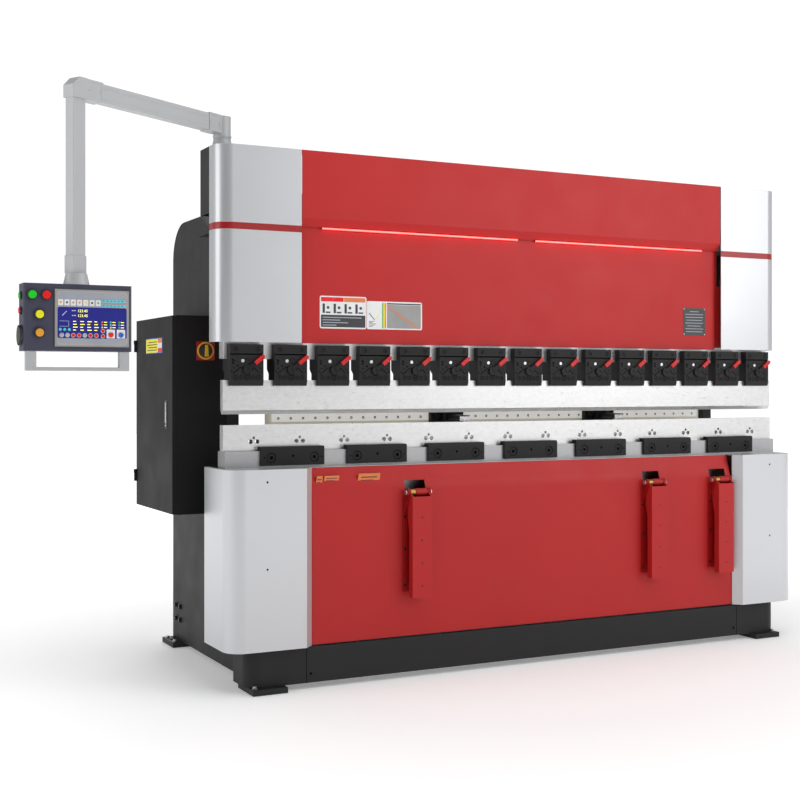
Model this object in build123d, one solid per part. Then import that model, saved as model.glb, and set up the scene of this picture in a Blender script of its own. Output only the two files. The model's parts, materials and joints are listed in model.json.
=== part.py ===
from build123d import *
import os
from math import cos, pi, radians, sin

# Hydraulic press brake with swing-arm console, back gauge and folding sheet supports.
# Millimetres. X runs along the bend, +Y towards the back, +Z up.
# The model is built about the bending line (X = 0, Y = 0 on the bend, Z = 0 on the floor)
# and moved so that the row's origin is the centre of the four anchor holes.

# ---- overall
BED_LENGTH = 3200.0        # length of table, die and punch
BED_HALF = BED_LENGTH / 2
FOOT_HEIGHT = 25.0
RUN_GAP = 0.3              # gap between faces that slide past each other
FIT = 0.05                 # radial clearance of a running shaft

# ---- C-shaped side frames
FRAME_OUTER = BED_HALF - 135.0
FRAME_PLATE = 60.0
FRAME_INNER = FRAME_OUTER - FRAME_PLATE
FRAME_MID = FRAME_OUTER - FRAME_PLATE / 2
FRAME_BACK = 1178.0
THROAT_BACK = 314.0
TAIL_FRONT = 704.0
TAIL_SLOPE = 209.0
TAIL_RADIUS = 190.0
THROAT_RADIUS = 60.0

# ---- table and die
TABLE_HALF_DEPTH = 50.0
TABLE_TOP = 1070.0
TABLE_FOOT_HALF = BED_HALF - 200.0   # the table is narrower near the floor
TABLE_FOOT_TOP = 330.0
DIE_HALF_DEPTH = 22.0
DIE_HEIGHT = 117.0
DIE_TOP = TABLE_TOP + DIE_HEIGHT
V_OPENING = 24.0
DIE_CLUSTERS = 14
DIE_END = 145.95            # rail end to the centre of the last hole cluster
DIE_PITCH = (BED_LENGTH - 2 * DIE_END) / (DIE_CLUSTERS - 1)
DIE_HOLE_R = 10.5
DIE_SMALL_R = 6.5
DIE_HOLE_STEP = 16.0
DIE_HOLE_Z = TABLE_TOP + 42.0
DIE_SMALL_Z = TABLE_TOP + 59.0
CLAMP_BARS = 7
BAR_PITCH = BED_LENGTH / 7.5
BAR_WIDTH = 310.0
BAR_FRONT = -64.0
BAR_BOTTOM = TABLE_TOP - 67.0
BAR_LIP = 19.0
BAR_BOLT_X = 105.0
BAR_BOLT_Z = TABLE_TOP - 31.0
COUNTERBORE_R = 22.5
COUNTERBORE_DEPTH = 8.0
BOLT_HEAD_R = 19.0
BOLT_HEAD_HEIGHT = 6.5

# ---- ram, punch and tool clamps
OPENING = 48.0             # punch tip to die top at the top of the stroke
PUNCH_HEIGHT = 155.0
PUNCH_HALF = 17.0
PUNCH_BEVEL = 19.0
PUNCH_TIP = DIE_TOP + OPENING
PUNCH_TOP = PUNCH_TIP + PUNCH_HEIGHT
CLAMP_SPAN = 96.0          # clear height between punch and ram
RAM_BOTTOM = PUNCH_TOP + CLAMP_SPAN
RAM_FRONT = 2.0
RAM_THICK = 60.0
RAM_BACK = RAM_FRONT + RAM_THICK
RAM_HALF = BED_HALF - 10.0
RAM_SHOULDER = RAM_BOTTOM + 419.0
RAM_TOP = RAM_BOTTOM + 764.0
RAM_PANEL_FRONT = -8.0
RAM_PANEL_LOW = RAM_BOTTOM + 75.0
RAM_PANEL_HIGH = RAM_TOP - 80.0
TOOL_CLAMPS = 15
CLAMP_PITCH = BED_LENGTH / TOOL_CLAMPS
CLAMP_WIDTH = 160.0
CLAMP_FRONT = -38.0
CLAMP_TOP = RAM_BOTTOM + 65.0
CLAMP_BOTTOM = PUNCH_TOP - 26.0
CLAMP_REAR_BOTTOM = PUNCH_TOP - 18.0
CLAMP_REAR = 40.0
CLAMP_GROOVE_DEPTH = 4.0
CLAMP_GROOVE_HIGH = CLAMP_TOP - 41.0
CLAMP_GROOVE_LOW = CLAMP_GROOVE_HIGH - 7.0
LEVER_Z = PUNCH_TOP + 47.0
LEVER_ANGLE = 38.7
LEVER_DISC_R = 20.0
LEVER_PIN_R = 7.0
LEVER_PIN_LENGTH = 17.0
LEVER_GRIP_START = 12.0
LEVER_GRIP_END = 104.0
LEVER_GRIP_WIDTH = 19.0
LEVER_BACK = CLAMP_FRONT - RUN_GAP
LEVER_DISC_FRONT = CLAMP_FRONT - 8.0
LEVER_GRIP_BACK = CLAMP_FRONT - 2.0
LEVER_GRIP_FRONT = CLAMP_FRONT - 16.0

# ---- heights of the C opening and of the frame's top
THROAT_LOW = TABLE_TOP - 85.0
THROAT_HIGH = RAM_BOTTOM + 134.0
JAW_TOP = RAM_SHOULDER + 180.0
TAIL_TOP = JAW_TOP + 130.0

# ---- hydraulic cylinders, shelves and guides
CYL_X = FRAME_MID - 5.0
CYL_R = 110.0
CYL_Y = CYL_R - 37.0
CYL_BORE_R = CYL_R - 30.0
CYL_HEIGHT = 320.0
GLAND_HEIGHT = 40.0
ROD_R = CYL_BORE_R - 25.0
SHELF_THICK = 25.0
SHELF_HALF = CYL_R + 10.0
SHELF_FRONT = -38.0
SHELF_BACK = TAIL_FRONT - TAIL_SLOPE
SHELF_HOLE_R = ROD_R + 3.0
CYL_BOTTOM = JAW_TOP + SHELF_THICK
HEAD_HALF = ROD_R
HEAD_BACK = CYL_Y + ROD_R + 15.0
JAW_FRONT = HEAD_BACK + 17.0
HEAD_HEIGHT = 55.0
HEAD_TOP = RAM_SHOULDER + HEAD_HEIGHT
RAM_TOP_HALF = CYL_X - SHELF_HALF - 70.0
PISTON_HEIGHT = 50.0
PISTON_TOP_GAP = 20.0
GUIDE_HALF = 40.0
GUIDE_FRONT = JAW_FRONT - 48.0
GUIDE_LOW = THROAT_HIGH + 20.0
GUIDE_HIGH = GUIDE_LOW + 200.0
SHOE_HALF = 35.0
SHOE_LOW = GUIDE_LOW + 60.0
SHOE_HIGH = SHOE_LOW + 100.0

# ---- sheet-metal covers
SHEET = 4.0
UPPER_HALF = BED_HALF + 35.0
UPPER_INNER = BED_HALF - 370.0
RAM_PANEL_HALF = UPPER_INNER - 15.0
UPPER_FRONT = -46.0
UPPER_BACK = 68.0
UPPER_LOW = CLAMP_TOP + 10.0
UPPER_HIGH = RAM_TOP + 197.0
UPPER_RADIUS = 75.0
BAND_LOW = UPPER_HIGH - 381.0
BAND_HIGH = BAND_LOW + 31.0
BAND_DEPTH = 2.0
FASCIA_HALF = UPPER_INNER - 3.0
FASCIA_FRONT = -44.0
FASCIA_KNEE = BAND_HIGH + 39.0
FASCIA_LIP_Y = -16.0
HOOD_INNER = CYL_X - CYL_R - 20.0
HOOD_BACK = CYL_Y + CYL_R + 12.0
HOOD_LOW = CYL_BOTTOM + 35.0
LOWER_HALF = BED_HALF + 30.0
LOWER_INNER = BED_HALF - 378.0
LOWER_CHAMFER = 40.0
LOWER_FRONT = -183.0
LOWER_BACK = 151.0
PLINTH_HIGH = 186.0
LOWER_LOW = PLINTH_HIGH + 5.0
LOWER_HIGH = TABLE_TOP - 76.0
LOWER_RADIUS = 85.0
LOWER_SCREW_X = BED_HALF - 150.0
LOWER_SCREW_ZS = (LOWER_HIGH - 441.0, LOWER_HIGH - 56.0)
COVER_SCREW_R = 5.0
APRON_HALF = LOWER_INNER - 3.0
APRON_FRONT = -140.0
APRON_LOW = PLINTH_HIGH + 7.0
APRON_KNEE = TABLE_TOP - 206.0
APRON_TOP = TABLE_TOP - 78.0
APRON_LEAN = 42.0
APRON_LEDGE_Y = -TABLE_HALF_DEPTH
PLINTH_HALF = FRAME_OUTER + 66.0
PLINTH_FRONT = -147.0
PLINTH_BACK = 40.0
PLINTH_RADIUS = 70.0
PLINTH_SHEET = 6.0

# ---- anchor feet
FOOT_X = FRAME_MID
FOOT_WIDTH = 165.0
FOOT_LENGTH = 195.0
ANCHOR_R = 13.0
ANCHOR_X = FRAME_OUTER + 27.0
FRONT_ANCHOR_Y = -86.0
BACK_ANCHOR_Y = 1102.0
ANCHOR_MID_Y = (FRONT_ANCHOR_Y + BACK_ANCHOR_Y) / 2

# ---- folding sheet supports
PIVOT_Z = APRON_KNEE + 2.0
SUPPORT_XS = (-0.43125 * BED_HALF, 0.43125 * BED_HALF, APRON_HALF - 89.0)
SUPPORT_HALF = 50.0
SUPPORT_FRONT = -205.0
SUPPORT_LOW = PIVOT_Z - 489.0
SUPPORT_HIGH = PIVOT_Z - 18.0
SUPPORT_SHEET = 5.0
SUPPORT_EDGE = -152.0
SUPPORT_EDGE_LOW = -168.0
SUPPORT_STEP_HIGH = PIVOT_Z - 116.0
SUPPORT_STEP_LOW = PIVOT_Z - 176.0
SUPPORT_HOLE_R = 4.5
SUPPORT_HOLE_ZS = (PIVOT_Z - 435.0, PIVOT_Z - 328.0, PIVOT_Z - 221.0, PIVOT_Z - 115.0)
PIVOT_Y = -163.0
PIVOT_R = 8.0
PIVOT_BOSS_R = 18.0
SLOT_HALF = SUPPORT_HALF + 3.5
SLOT_REACH = 60.0          # how far back the slot is cut through the leaning face
SLOT_LOW = APRON_KNEE - 18.0
SLOT_HIGH = APRON_KNEE + 56.0
BRACKET_HALF = SUPPORT_HALF + 22.0
BRACKET_LOW = PIVOT_Z - 464.0
BRACKET_HIGH = SLOT_LOW
BRACKET_SHEET = 6.0
EAR_INNER = SUPPORT_HALF + 2.0
EAR_THICK = 8.0
EAR_LOW = PIVOT_Z - 86.0

# ---- electrical cabinet on the left frame
CABINET_LEFT = -FRAME_OUTER - 266.0
CABINET_FRONT = THROAT_BACK
CABINET_LENGTH = 620.0
CABINET_BACK = CABINET_FRONT + CABINET_LENGTH
CABINET_LOW = 762.0
CABINET_HIGH = 1694.0
CABINET_SHEET = 4.0
DOOR_THICK = 19.5
DOOR_MARGIN = 2.0
HINGE_X = CABINET_LEFT - 7.0
HINGE_Y = CABINET_BACK - 4.0
HINGE_R = 6.0
HINGE_PIN_R = 3.0
HINGE_ZS = (CABINET_LOW + 120.0, CABINET_HIGH - 160.0)
HINGE_LUG = 20.0
HINGE_KNUCKLE = 40.0
LATCH_Y = CABINET_FRONT + 98.0
LATCH_Z = 1230.0
LATCH_HALF_HEIGHT = 62.0
LATCH_HALF_WIDTH = 14.0
SWITCH_X = -FRAME_OUTER - 107.0
SWITCH_Z = CABINET_HIGH - 165.0
SWITCH_PLATE = 90.0
SWITCH_PLATE_THICK = 5.0
KNOB_R = 28.0
KNOB_DEPTH = 26.0
KNOB_BASE = 8.0
KNOB_GRIP_HALF = 8.0
KNOB_SHAFT_R = 6.0
KNOB_SHAFT_LENGTH = 16.0

# ---- console on its swing arm
POST_X = 81.0 - UPPER_HALF
POST_Y = 125.0
POST_FLANGE_R = 52.0
POST_FLANGE_THICK = 8.0
POST_CONE_TOP_R = 40.0
POST_CONE_HEIGHT = 38.0
POST_SPIGOT_R = 28.0
POST_SPIGOT_HEIGHT = 60.0
ARM_LENGTH = 900.0
ARM_HEADING = 210.8        # degrees from +X, seen from above
ARM_Z = UPPER_HIGH + 108.0
ARM_HEIGHT = 75.0
ARM_THICK = 50.0
HUB_R = 40.0
DROP_WIDTH = 66.0
DROP_THICK = 44.0
ELBOW_PAD = 5.0
COLLAR_PAD = 3.0
PENDANT_SPIGOT_R = 16.0
PENDANT_SPIGOT_HEIGHT = 50.0
CONSOLE_WIDTH = 427.0
CONSOLE_HEIGHT = 265.0
CONSOLE_DEPTH = 90.0
CONSOLE_TOP = 1766.0
COLLAR_LOW = CONSOLE_TOP + 46.0
COLLAR_HIGH = COLLAR_LOW + 72.0
CONSOLE_WALL = 3.0
DOME_LOW_R = 52.0
DOME_HIGH_R = 42.0
BEZEL_WIDTH = 295.0
BEZEL_HEIGHT = 226.0
BEZEL_RIGHT_GAP = 13.0
BEZEL_TOP_GAP = 21.0
BEZEL_THICK = 6.0
BEZEL_BORDER = 10.0
BEZEL_RECESS = 2.5
BUTTON_R = 16.0
BUTTON_RING_R = BUTTON_R + 3.5
BUTTON_RING_THICK = 6.0
BUTTON_HEAD = 7.0
BUTTON_STEM_R = 8.0
BUTTON_LIFT = 4.0          # head above the panel face
BUTTON_STEM = 16.0
FRONT_BUTTONS = {          # distance from the console's left edge and top edge
    "start_button": (32.5, 45.5),
    "stop_button": (87.5, 45.5),
    "pump_button": (60.5, 122.0),
    "mode_button": (60.5, 194.0),
}
SIDE_BUTTONS = {"side_start_button": 48.0, "side_stop_button": 107.0}
SIDE_BUTTON_R = 12.0
SIDE_RING_R = SIDE_BUTTON_R + 3.0
SIDE_DIAL_R = 40.0
SIDE_DIAL_THICK = 12.0
SIDE_DIAL_DROP = 204.0
HANDLE_INSET = 9.0
HANDLE_LEG = 41.0
HANDLE_DROP = 78.0
HANDLE_BAR = 15.0
HANDLE_DEPTH = 28.0

# ---- back gauge
GAUGE_GUIDE_X = FRAME_OUTER - 565.0
GAUGE_GUIDE_HALF = 40.0
GAUGE_GUIDE_BACK = 900.0
GAUGE_GUIDE_LOW = THROAT_LOW
GAUGE_GUIDE_HIGH = TABLE_TOP - 5.0
GAUGE_RAIL_HALF = 12.0
GAUGE_RAIL_HEIGHT = 20.0
GAUGE_BEAM_LEFT = 160.0 - FRAME_INNER
GAUGE_BEAM_RIGHT = FRAME_INNER - 20.0
GAUGE_BEAM_FRONT = 330.0
GAUGE_BEAM_BACK = 390.0
GAUGE_BEAM_LOW = DIE_TOP - 37.0
GAUGE_BEAM_HIGH = GAUGE_BEAM_LOW + 90.0
GAUGE_HOLE_PITCH = 65.0
GAUGE_HOLE_Z = GAUGE_BEAM_LOW + 56.0
GAUGE_HOLE_R = 5.0
GAUGE_HOLE_DEPTH = 12.0
CARRIAGE_HALF = 45.0
CARRIAGE_FRONT = 300.0
CARRIAGE_BACK = 460.0
FINGERS = {"gauge_finger_left": -0.17375 * BED_HALF, "gauge_finger_right": 0.42 * BED_HALF}
FINGER_HALF = 95.0
FINGER_PLATE = 30.0
FINGER_PLATE_LOW = GAUGE_BEAM_LOW + 15.0
FINGER_HOOK = 22.0
FINGER_ARM_HALF = 22.0
FINGER_ARM_LOW = DIE_TOP + 5.0
FINGER_ARM_HIGH = FINGER_ARM_LOW + 24.0
FINGER_TIP = 118.0
FINGER_TIP_DEPTH = 14.0
FINGER_TIP_HALF = 30.0
FINGER_TIP_LOW = DIE_TOP + 0.5

# ---- cross members and hydraulic pack
TIE_HIGH = JAW_TOP - 15.0
TIE_LOW = TIE_HIGH - 320.0
TIE_FRONT = 300.0
TIE_BACK = 360.0
REAR_TUBE_Y = 1080.0
REAR_TUBE_Z = 170.0
REAR_TUBE_SIZE = 120.0
REAR_TUBE_WALL = 10.0
TANK_HALF = 600.0
TANK_DEPTH = 480.0
TANK_HIGH = CYL_BOTTOM - 50.0
TANK_LOW = TANK_HIGH - 340.0
TANK_WALL = 6.0
LID_THICK = 8.0
MOTOR_X = -260.0
MOTOR_R = 110.0
MOTOR_HEIGHT = 290.0
VALVE_X = 180.0
VALVE_SIZE = 170.0
VALVE_HEIGHT = 150.0
FILTER_X = 440.0
FILTER_R = 52.0
FILTER_HEIGHT = 170.0
PACK_Y = TIE_BACK + TANK_DEPTH / 2
PIPE_R = 14.0
PIPE_Z = CYL_BOTTOM + 70.0
PIPE_BACK = 440.0
PIPE_RUN_OUT = 90.0
PIPE_PORT_DEPTH = 3.0
PIPE_HOLE_GAP = 4.0
PIPE_BEND_R = 70.0


def block(x0, x1, y0, y1, z0, z1):
    """A box given by its lowest and highest corners."""
    middle = ((x0 + x1) / 2, (y0 + y1) / 2, (z0 + z1) / 2)
    return Pos(*middle) * Box(x1 - x0, y1 - y0, z1 - z0)


def extrude_x(points, x0, x1):
    """A Y-Z outline carried along X."""
    face = Plane.YZ.offset(x0) * make_face(Polyline(*points, close=True))
    return extrude(face, x1 - x0, dir=(1, 0, 0))


def extrude_z(face, z0, z1):
    """A plan-view face carried up from z0 to z1."""
    return extrude(Pos(0, 0, z0) * face, z1 - z0, dir=(0, 0, 1))


def rod_x(x0, x1, y, z, radius):
    """A cylinder along X."""
    return Pos((x0 + x1) / 2, y, z) * Rot(0, 90, 0) * Cylinder(radius, x1 - x0)


def rod_y(x, y0, y1, z, radius):
    """A cylinder along Y."""
    return Pos(x, (y0 + y1) / 2, z) * Rot(90, 0, 0) * Cylinder(radius, y1 - y0)


def rod_z(x, y, z0, z1, radius):
    """A cylinder along Z."""
    return Pos(x, y, (z0 + z1) / 2) * Cylinder(radius, z1 - z0)


def mirrored(shape):
    """The same shape on the other side of the bending centre."""
    return mirror(shape, about=Plane.YZ)


def both_sides(shape):
    """A right-hand shape and its left-hand twin, as separate solids."""
    return [shape, mirrored(shape)]


def save(name, *shapes):
    """Write one node, moved from the bending line to the anchor pattern's centre."""
    solids = []
    for shape in shapes:
        solids += shape.solids()
    moved = [Pos(0, -ANCHOR_MID_Y, 0) * solid for solid in solids]
    export_step(Compound(moved) if len(moved) > 1 else moved[0], f"parts/{name}.step")


def near(vertices, x, y):
    """The vertices of a plan face that lie at one corner."""
    return [v for v in vertices if abs(v.X - x) < 1e-3 and abs(v.Y - y) < 1e-3]


# ---------------------------------------------------------------- frame

def side_frame():
    outline = [
        (TABLE_HALF_DEPTH, FOOT_HEIGHT), (TABLE_HALF_DEPTH, THROAT_LOW),
        (THROAT_BACK, THROAT_LOW), (THROAT_BACK, THROAT_HIGH),
        (JAW_FRONT, THROAT_HIGH), (JAW_FRONT, JAW_TOP),
        (TAIL_FRONT - TAIL_SLOPE, JAW_TOP), (TAIL_FRONT, TAIL_TOP),
        (FRAME_BACK, TAIL_TOP), (FRAME_BACK, FOOT_HEIGHT),
    ]
    plate = extrude_x(outline, FRAME_INNER, FRAME_OUTER)
    along_x = plate.edges().filter_by(Axis.X)
    throat = [e for e in along_x if abs(e.center().Y - THROAT_BACK) < 1]
    plate = fillet(throat, THROAT_RADIUS)
    along_x = plate.edges().filter_by(Axis.X)
    tail = [e for e in along_x if e.center().Y > FRAME_BACK - 1 and e.center().Z > TAIL_TOP - 1]
    return fillet(tail, TAIL_RADIUS)


def cross_members():
    tie = block(-FRAME_INNER, FRAME_INNER, TIE_FRONT, TIE_BACK, TIE_LOW, TIE_HIGH)
    half = REAR_TUBE_SIZE / 2
    y0, y1 = REAR_TUBE_Y - half, REAR_TUBE_Y + half
    z0, z1 = REAR_TUBE_Z - half, REAR_TUBE_Z + half
    tube = block(-FRAME_INNER, FRAME_INNER, y0, y1, z0, z1)
    wall = REAR_TUBE_WALL
    hollow = block(-FRAME_INNER, FRAME_INNER, y0 + wall, y1 - wall, z0 + wall, z1 - wall)
    return tie, tube - hollow


def table_beam():
    depth = TABLE_HALF_DEPTH
    beam = block(-BED_HALF, BED_HALF, -depth, depth, TABLE_FOOT_TOP, TABLE_TOP)
    return beam + block(-TABLE_FOOT_HALF, TABLE_FOOT_HALF, -depth, depth, FOOT_HEIGHT, TABLE_FOOT_TOP)


def foot(anchor_y):
    """One foot plate under a side frame, with its anchor hole outboard of the frame."""
    x0, x1 = FOOT_X - FOOT_WIDTH / 2, FOOT_X + FOOT_WIDTH / 2
    plate = block(x0, x1, anchor_y - FOOT_LENGTH / 2, anchor_y + FOOT_LENGTH / 2, 0, FOOT_HEIGHT)
    return plate - rod_z(ANCHOR_X, anchor_y, -1, FOOT_HEIGHT + 1, ANCHOR_R)


def anchor_feet():
    feet = []
    for anchor_y in (FRONT_ANCHOR_Y, BACK_ANCHOR_Y):
        feet += both_sides(foot(anchor_y))
    return feet


def base_plinth():
    width = 2 * PLINTH_HALF
    depth = PLINTH_BACK - PLINTH_FRONT
    middle = (PLINTH_FRONT + PLINTH_BACK) / 2
    outer = Pos(0, middle) * Rectangle(width, depth)
    corners = near(outer.vertices(), -PLINTH_HALF, PLINTH_FRONT)
    corners += near(outer.vertices(), PLINTH_HALF, PLINTH_FRONT)
    outer = fillet(corners, PLINTH_RADIUS)
    open_back = Pos(0, PLINTH_BACK) * Rectangle(width - 2 * PLINTH_SHEET, depth)
    inner = offset(outer, -PLINTH_SHEET) + open_back
    return extrude_z(outer - inner, FOOT_HEIGHT, PLINTH_HIGH)


# ---------------------------------------------------------------- die side

def die_rail():
    rail = block(-BED_HALF, BED_HALF, -DIE_HALF_DEPTH, DIE_HALF_DEPTH, TABLE_TOP, DIE_TOP)
    groove = [(-V_OPENING / 2, DIE_TOP), (0, DIE_TOP - V_OPENING / 2), (V_OPENING / 2, DIE_TOP)]
    rail -= extrude_x(groove, -BED_HALF, BED_HALF)
    y0, y1 = -DIE_HALF_DEPTH - 1, DIE_HALF_DEPTH + 1
    holes = []
    for i in range(DIE_CLUSTERS):
        x = (i - (DIE_CLUSTERS - 1) / 2) * DIE_PITCH
        holes.append(rod_y(x - DIE_HOLE_STEP, y0, y1, DIE_HOLE_Z, DIE_HOLE_R))
        holes.append(rod_y(x + DIE_HOLE_STEP, y0, y1, DIE_HOLE_Z, DIE_HOLE_R))
        holes.append(rod_y(x, y0, y1, DIE_SMALL_Z, DIE_SMALL_R))
    return rail - holes


def die_clamp_bar(x):
    """One clamp bar: a front plate with a lip over the table's top, and its two bolts."""
    outline = [
        (BAR_FRONT, BAR_BOTTOM), (-TABLE_HALF_DEPTH, BAR_BOTTOM), (-TABLE_HALF_DEPTH, TABLE_TOP),
        (-DIE_HALF_DEPTH, TABLE_TOP), (-DIE_HALF_DEPTH, TABLE_TOP + BAR_LIP),
        (BAR_FRONT + 5, TABLE_TOP + BAR_LIP), (BAR_FRONT, TABLE_TOP + BAR_LIP - 8),
    ]
    bar = extrude_x(outline, x - BAR_WIDTH / 2, x + BAR_WIDTH / 2)
    floor_y = BAR_FRONT + COUNTERBORE_DEPTH
    bolts = []
    for side in (-1, 1):
        bolt_x = x + side * BAR_BOLT_X
        bar -= rod_y(bolt_x, BAR_FRONT - 1, floor_y, BAR_BOLT_Z, COUNTERBORE_R)
        bolts.append(rod_y(bolt_x, floor_y - BOLT_HEAD_HEIGHT, floor_y, BAR_BOLT_Z, BOLT_HEAD_R))
    return [bar] + bolts


def die_clamps():
    pieces = []
    for i in range(CLAMP_BARS):
        pieces += die_clamp_bar((i - (CLAMP_BARS - 1) / 2) * BAR_PITCH)
    return pieces


# ---------------------------------------------------------------- ram side

def ram_beam():
    beam = block(-RAM_HALF, RAM_HALF, RAM_FRONT, RAM_BACK, RAM_BOTTOM, RAM_SHOULDER)
    beam += block(-RAM_TOP_HALF, RAM_TOP_HALF, RAM_FRONT, RAM_BACK, RAM_SHOULDER, RAM_TOP)
    shoe_x0, shoe_x1 = FRAME_MID - SHOE_HALF, FRAME_MID + SHOE_HALF
    shoe = block(shoe_x0, shoe_x1, RAM_BACK, GUIDE_FRONT - RUN_GAP, SHOE_LOW, SHOE_HIGH)
    return beam + both_sides(shoe)


def ram_front_panel():
    """A shallow tray whose returned edges rest on the ram's face."""
    half = RAM_PANEL_HALF
    tray = block(-half, half, RAM_PANEL_FRONT, RAM_FRONT, RAM_PANEL_LOW, RAM_PANEL_HIGH)
    inside = half - SHEET
    low, high = RAM_PANEL_LOW + SHEET, RAM_PANEL_HIGH - SHEET
    return tray - block(-inside, inside, RAM_PANEL_FRONT + SHEET, RAM_FRONT, low, high)


def punch():
    outline = [
        (0, PUNCH_TIP), (PUNCH_HALF, PUNCH_TIP + PUNCH_BEVEL), (PUNCH_HALF, PUNCH_TOP),
        (-PUNCH_HALF, PUNCH_TOP), (-PUNCH_HALF, PUNCH_TIP + PUNCH_BEVEL),
    ]
    return extrude_x(outline, -BED_HALF, BED_HALF)


def clamp_x(i):
    return (i - (TOOL_CLAMPS - 1) / 2) * CLAMP_PITCH


def tool_clamp(x):
    """One clamp: front jaw on the ram's face, body in the gap, jaws on both sides of the punch."""
    outline = [
        (CLAMP_FRONT, CLAMP_BOTTOM + 20), (CLAMP_FRONT + 6, CLAMP_BOTTOM), (-PUNCH_HALF, CLAMP_BOTTOM),
        (-PUNCH_HALF, PUNCH_TOP), (PUNCH_HALF, PUNCH_TOP), (PUNCH_HALF, CLAMP_REAR_BOTTOM),
        (CLAMP_REAR, CLAMP_REAR_BOTTOM), (CLAMP_REAR, PUNCH_TOP + 30), (RAM_BACK, PUNCH_TOP + 50),
        (RAM_BACK, RAM_BOTTOM), (RAM_FRONT, RAM_BOTTOM), (RAM_FRONT, CLAMP_TOP),
        (CLAMP_FRONT, CLAMP_TOP),
    ]
    clamp = extrude_x(outline, x - CLAMP_WIDTH / 2, x + CLAMP_WIDTH / 2)
    x0, x1 = x - CLAMP_WIDTH / 2, x + CLAMP_WIDTH / 2
    groove_back = CLAMP_FRONT + CLAMP_GROOVE_DEPTH
    clamp -= block(x0, x1, CLAMP_FRONT, groove_back, CLAMP_GROOVE_LOW, CLAMP_GROOVE_HIGH)
    pin_end = CLAMP_FRONT + LEVER_PIN_LENGTH + 1
    return clamp - rod_y(x, CLAMP_FRONT - 1, pin_end, LEVER_Z, LEVER_PIN_R + FIT)


def clamp_lever(x):
    """One clamp lever: pivot disc, pin into the clamp, and a raised grip with a round end."""
    disc = rod_y(x, LEVER_DISC_FRONT, LEVER_BACK, LEVER_Z, LEVER_DISC_R)
    pin = rod_y(x, LEVER_BACK, CLAMP_FRONT + LEVER_PIN_LENGTH, LEVER_Z, LEVER_PIN_R)
    half = LEVER_GRIP_WIDTH / 2
    straight = LEVER_GRIP_END - half - LEVER_GRIP_START
    depth = LEVER_GRIP_BACK - LEVER_GRIP_FRONT
    middle_y = (LEVER_GRIP_BACK + LEVER_GRIP_FRONT) / 2
    grip = Pos(LEVER_GRIP_START + straight / 2, 0, 0) * Box(straight, depth, LEVER_GRIP_WIDTH)
    grip += Pos(LEVER_GRIP_START + straight, 0, 0) * Rot(90, 0, 0) * Cylinder(half, depth)
    grip = Pos(x, middle_y, LEVER_Z) * Rot(0, -LEVER_ANGLE, 0) * grip
    return disc + pin + grip


def ram_head_block():
    return block(CYL_X - HEAD_HALF, CYL_X + HEAD_HALF, RAM_FRONT, HEAD_BACK, RAM_SHOULDER, HEAD_TOP)


def piston_rod():
    top = CYL_BOTTOM + CYL_HEIGHT - PISTON_TOP_GAP - 10
    rod = rod_z(CYL_X, CYL_Y, HEAD_TOP, top, ROD_R)
    return rod + rod_z(CYL_X, CYL_Y, top - PISTON_HEIGHT, top, CYL_BORE_R - FIT)


def cylinder_barrel():
    top = CYL_BOTTOM + CYL_HEIGHT
    barrel = rod_z(CYL_X, CYL_Y, CYL_BOTTOM, top, CYL_R)
    barrel -= rod_z(CYL_X, CYL_Y, CYL_BOTTOM + GLAND_HEIGHT, top - PISTON_TOP_GAP, CYL_BORE_R)
    barrel -= rod_z(CYL_X, CYL_Y, CYL_BOTTOM - 1, CYL_BOTTOM + GLAND_HEIGHT + 1, ROD_R + FIT)
    port_y = CYL_Y + CYL_R - PIPE_PORT_DEPTH
    return barrel - rod_y(CYL_X, port_y, port_y + 20, PIPE_Z, PIPE_R)


def cylinder_shelf():
    x0, x1 = CYL_X - SHELF_HALF, CYL_X + SHELF_HALF
    shelf = block(x0, x1, SHELF_FRONT, SHELF_BACK, JAW_TOP, CYL_BOTTOM)
    return shelf - rod_z(CYL_X, CYL_Y, JAW_TOP - 1, CYL_BOTTOM + 1, SHELF_HOLE_R)


def ram_guide():
    x0, x1 = FRAME_MID - GUIDE_HALF, FRAME_MID + GUIDE_HALF
    return block(x0, x1, GUIDE_FRONT, JAW_FRONT, GUIDE_LOW, GUIDE_HIGH)


# ---------------------------------------------------------------- covers

def lower_cover():
    """Right-hand corner cover of the table: bent front sheet with a top around the table."""
    left, right = LOWER_INNER, LOWER_HALF
    outer = make_face(Polyline(
        (left, LOWER_FRONT + LOWER_CHAMFER), (left + LOWER_CHAMFER, LOWER_FRONT),
        (right, LOWER_FRONT), (right, LOWER_BACK), (left, LOWER_BACK), close=True))
    outer = fillet(near(outer.vertices(), right, LOWER_FRONT), LOWER_RADIUS)
    open_front = LOWER_FRONT + LOWER_CHAMFER + SHEET
    bend_x = right - LOWER_RADIUS
    bend_y = LOWER_FRONT + LOWER_RADIUS
    open_side = make_face(Polyline(
        (left - 10, open_front), (bend_x, open_front), (bend_x, bend_y), (right - SHEET, bend_y),
        (right - SHEET, LOWER_BACK + 10), (left - 10, LOWER_BACK + 10), close=True))
    wall = outer - (offset(outer, -SHEET) + open_side)
    cover = extrude_z(wall, LOWER_LOW, LOWER_HIGH)
    top = extrude_z(outer, LOWER_HIGH - SHEET, LOWER_HIGH)
    top -= block(0, BED_HALF + 3, -TABLE_HALF_DEPTH, LOWER_BACK + 1, LOWER_LOW, LOWER_HIGH + 1)
    cover += top
    for z in LOWER_SCREW_ZS:
        cover -= rod_y(LOWER_SCREW_X, LOWER_FRONT - 1, LOWER_FRONT + SHEET + 1, z, COVER_SCREW_R)
    return cover


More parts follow.
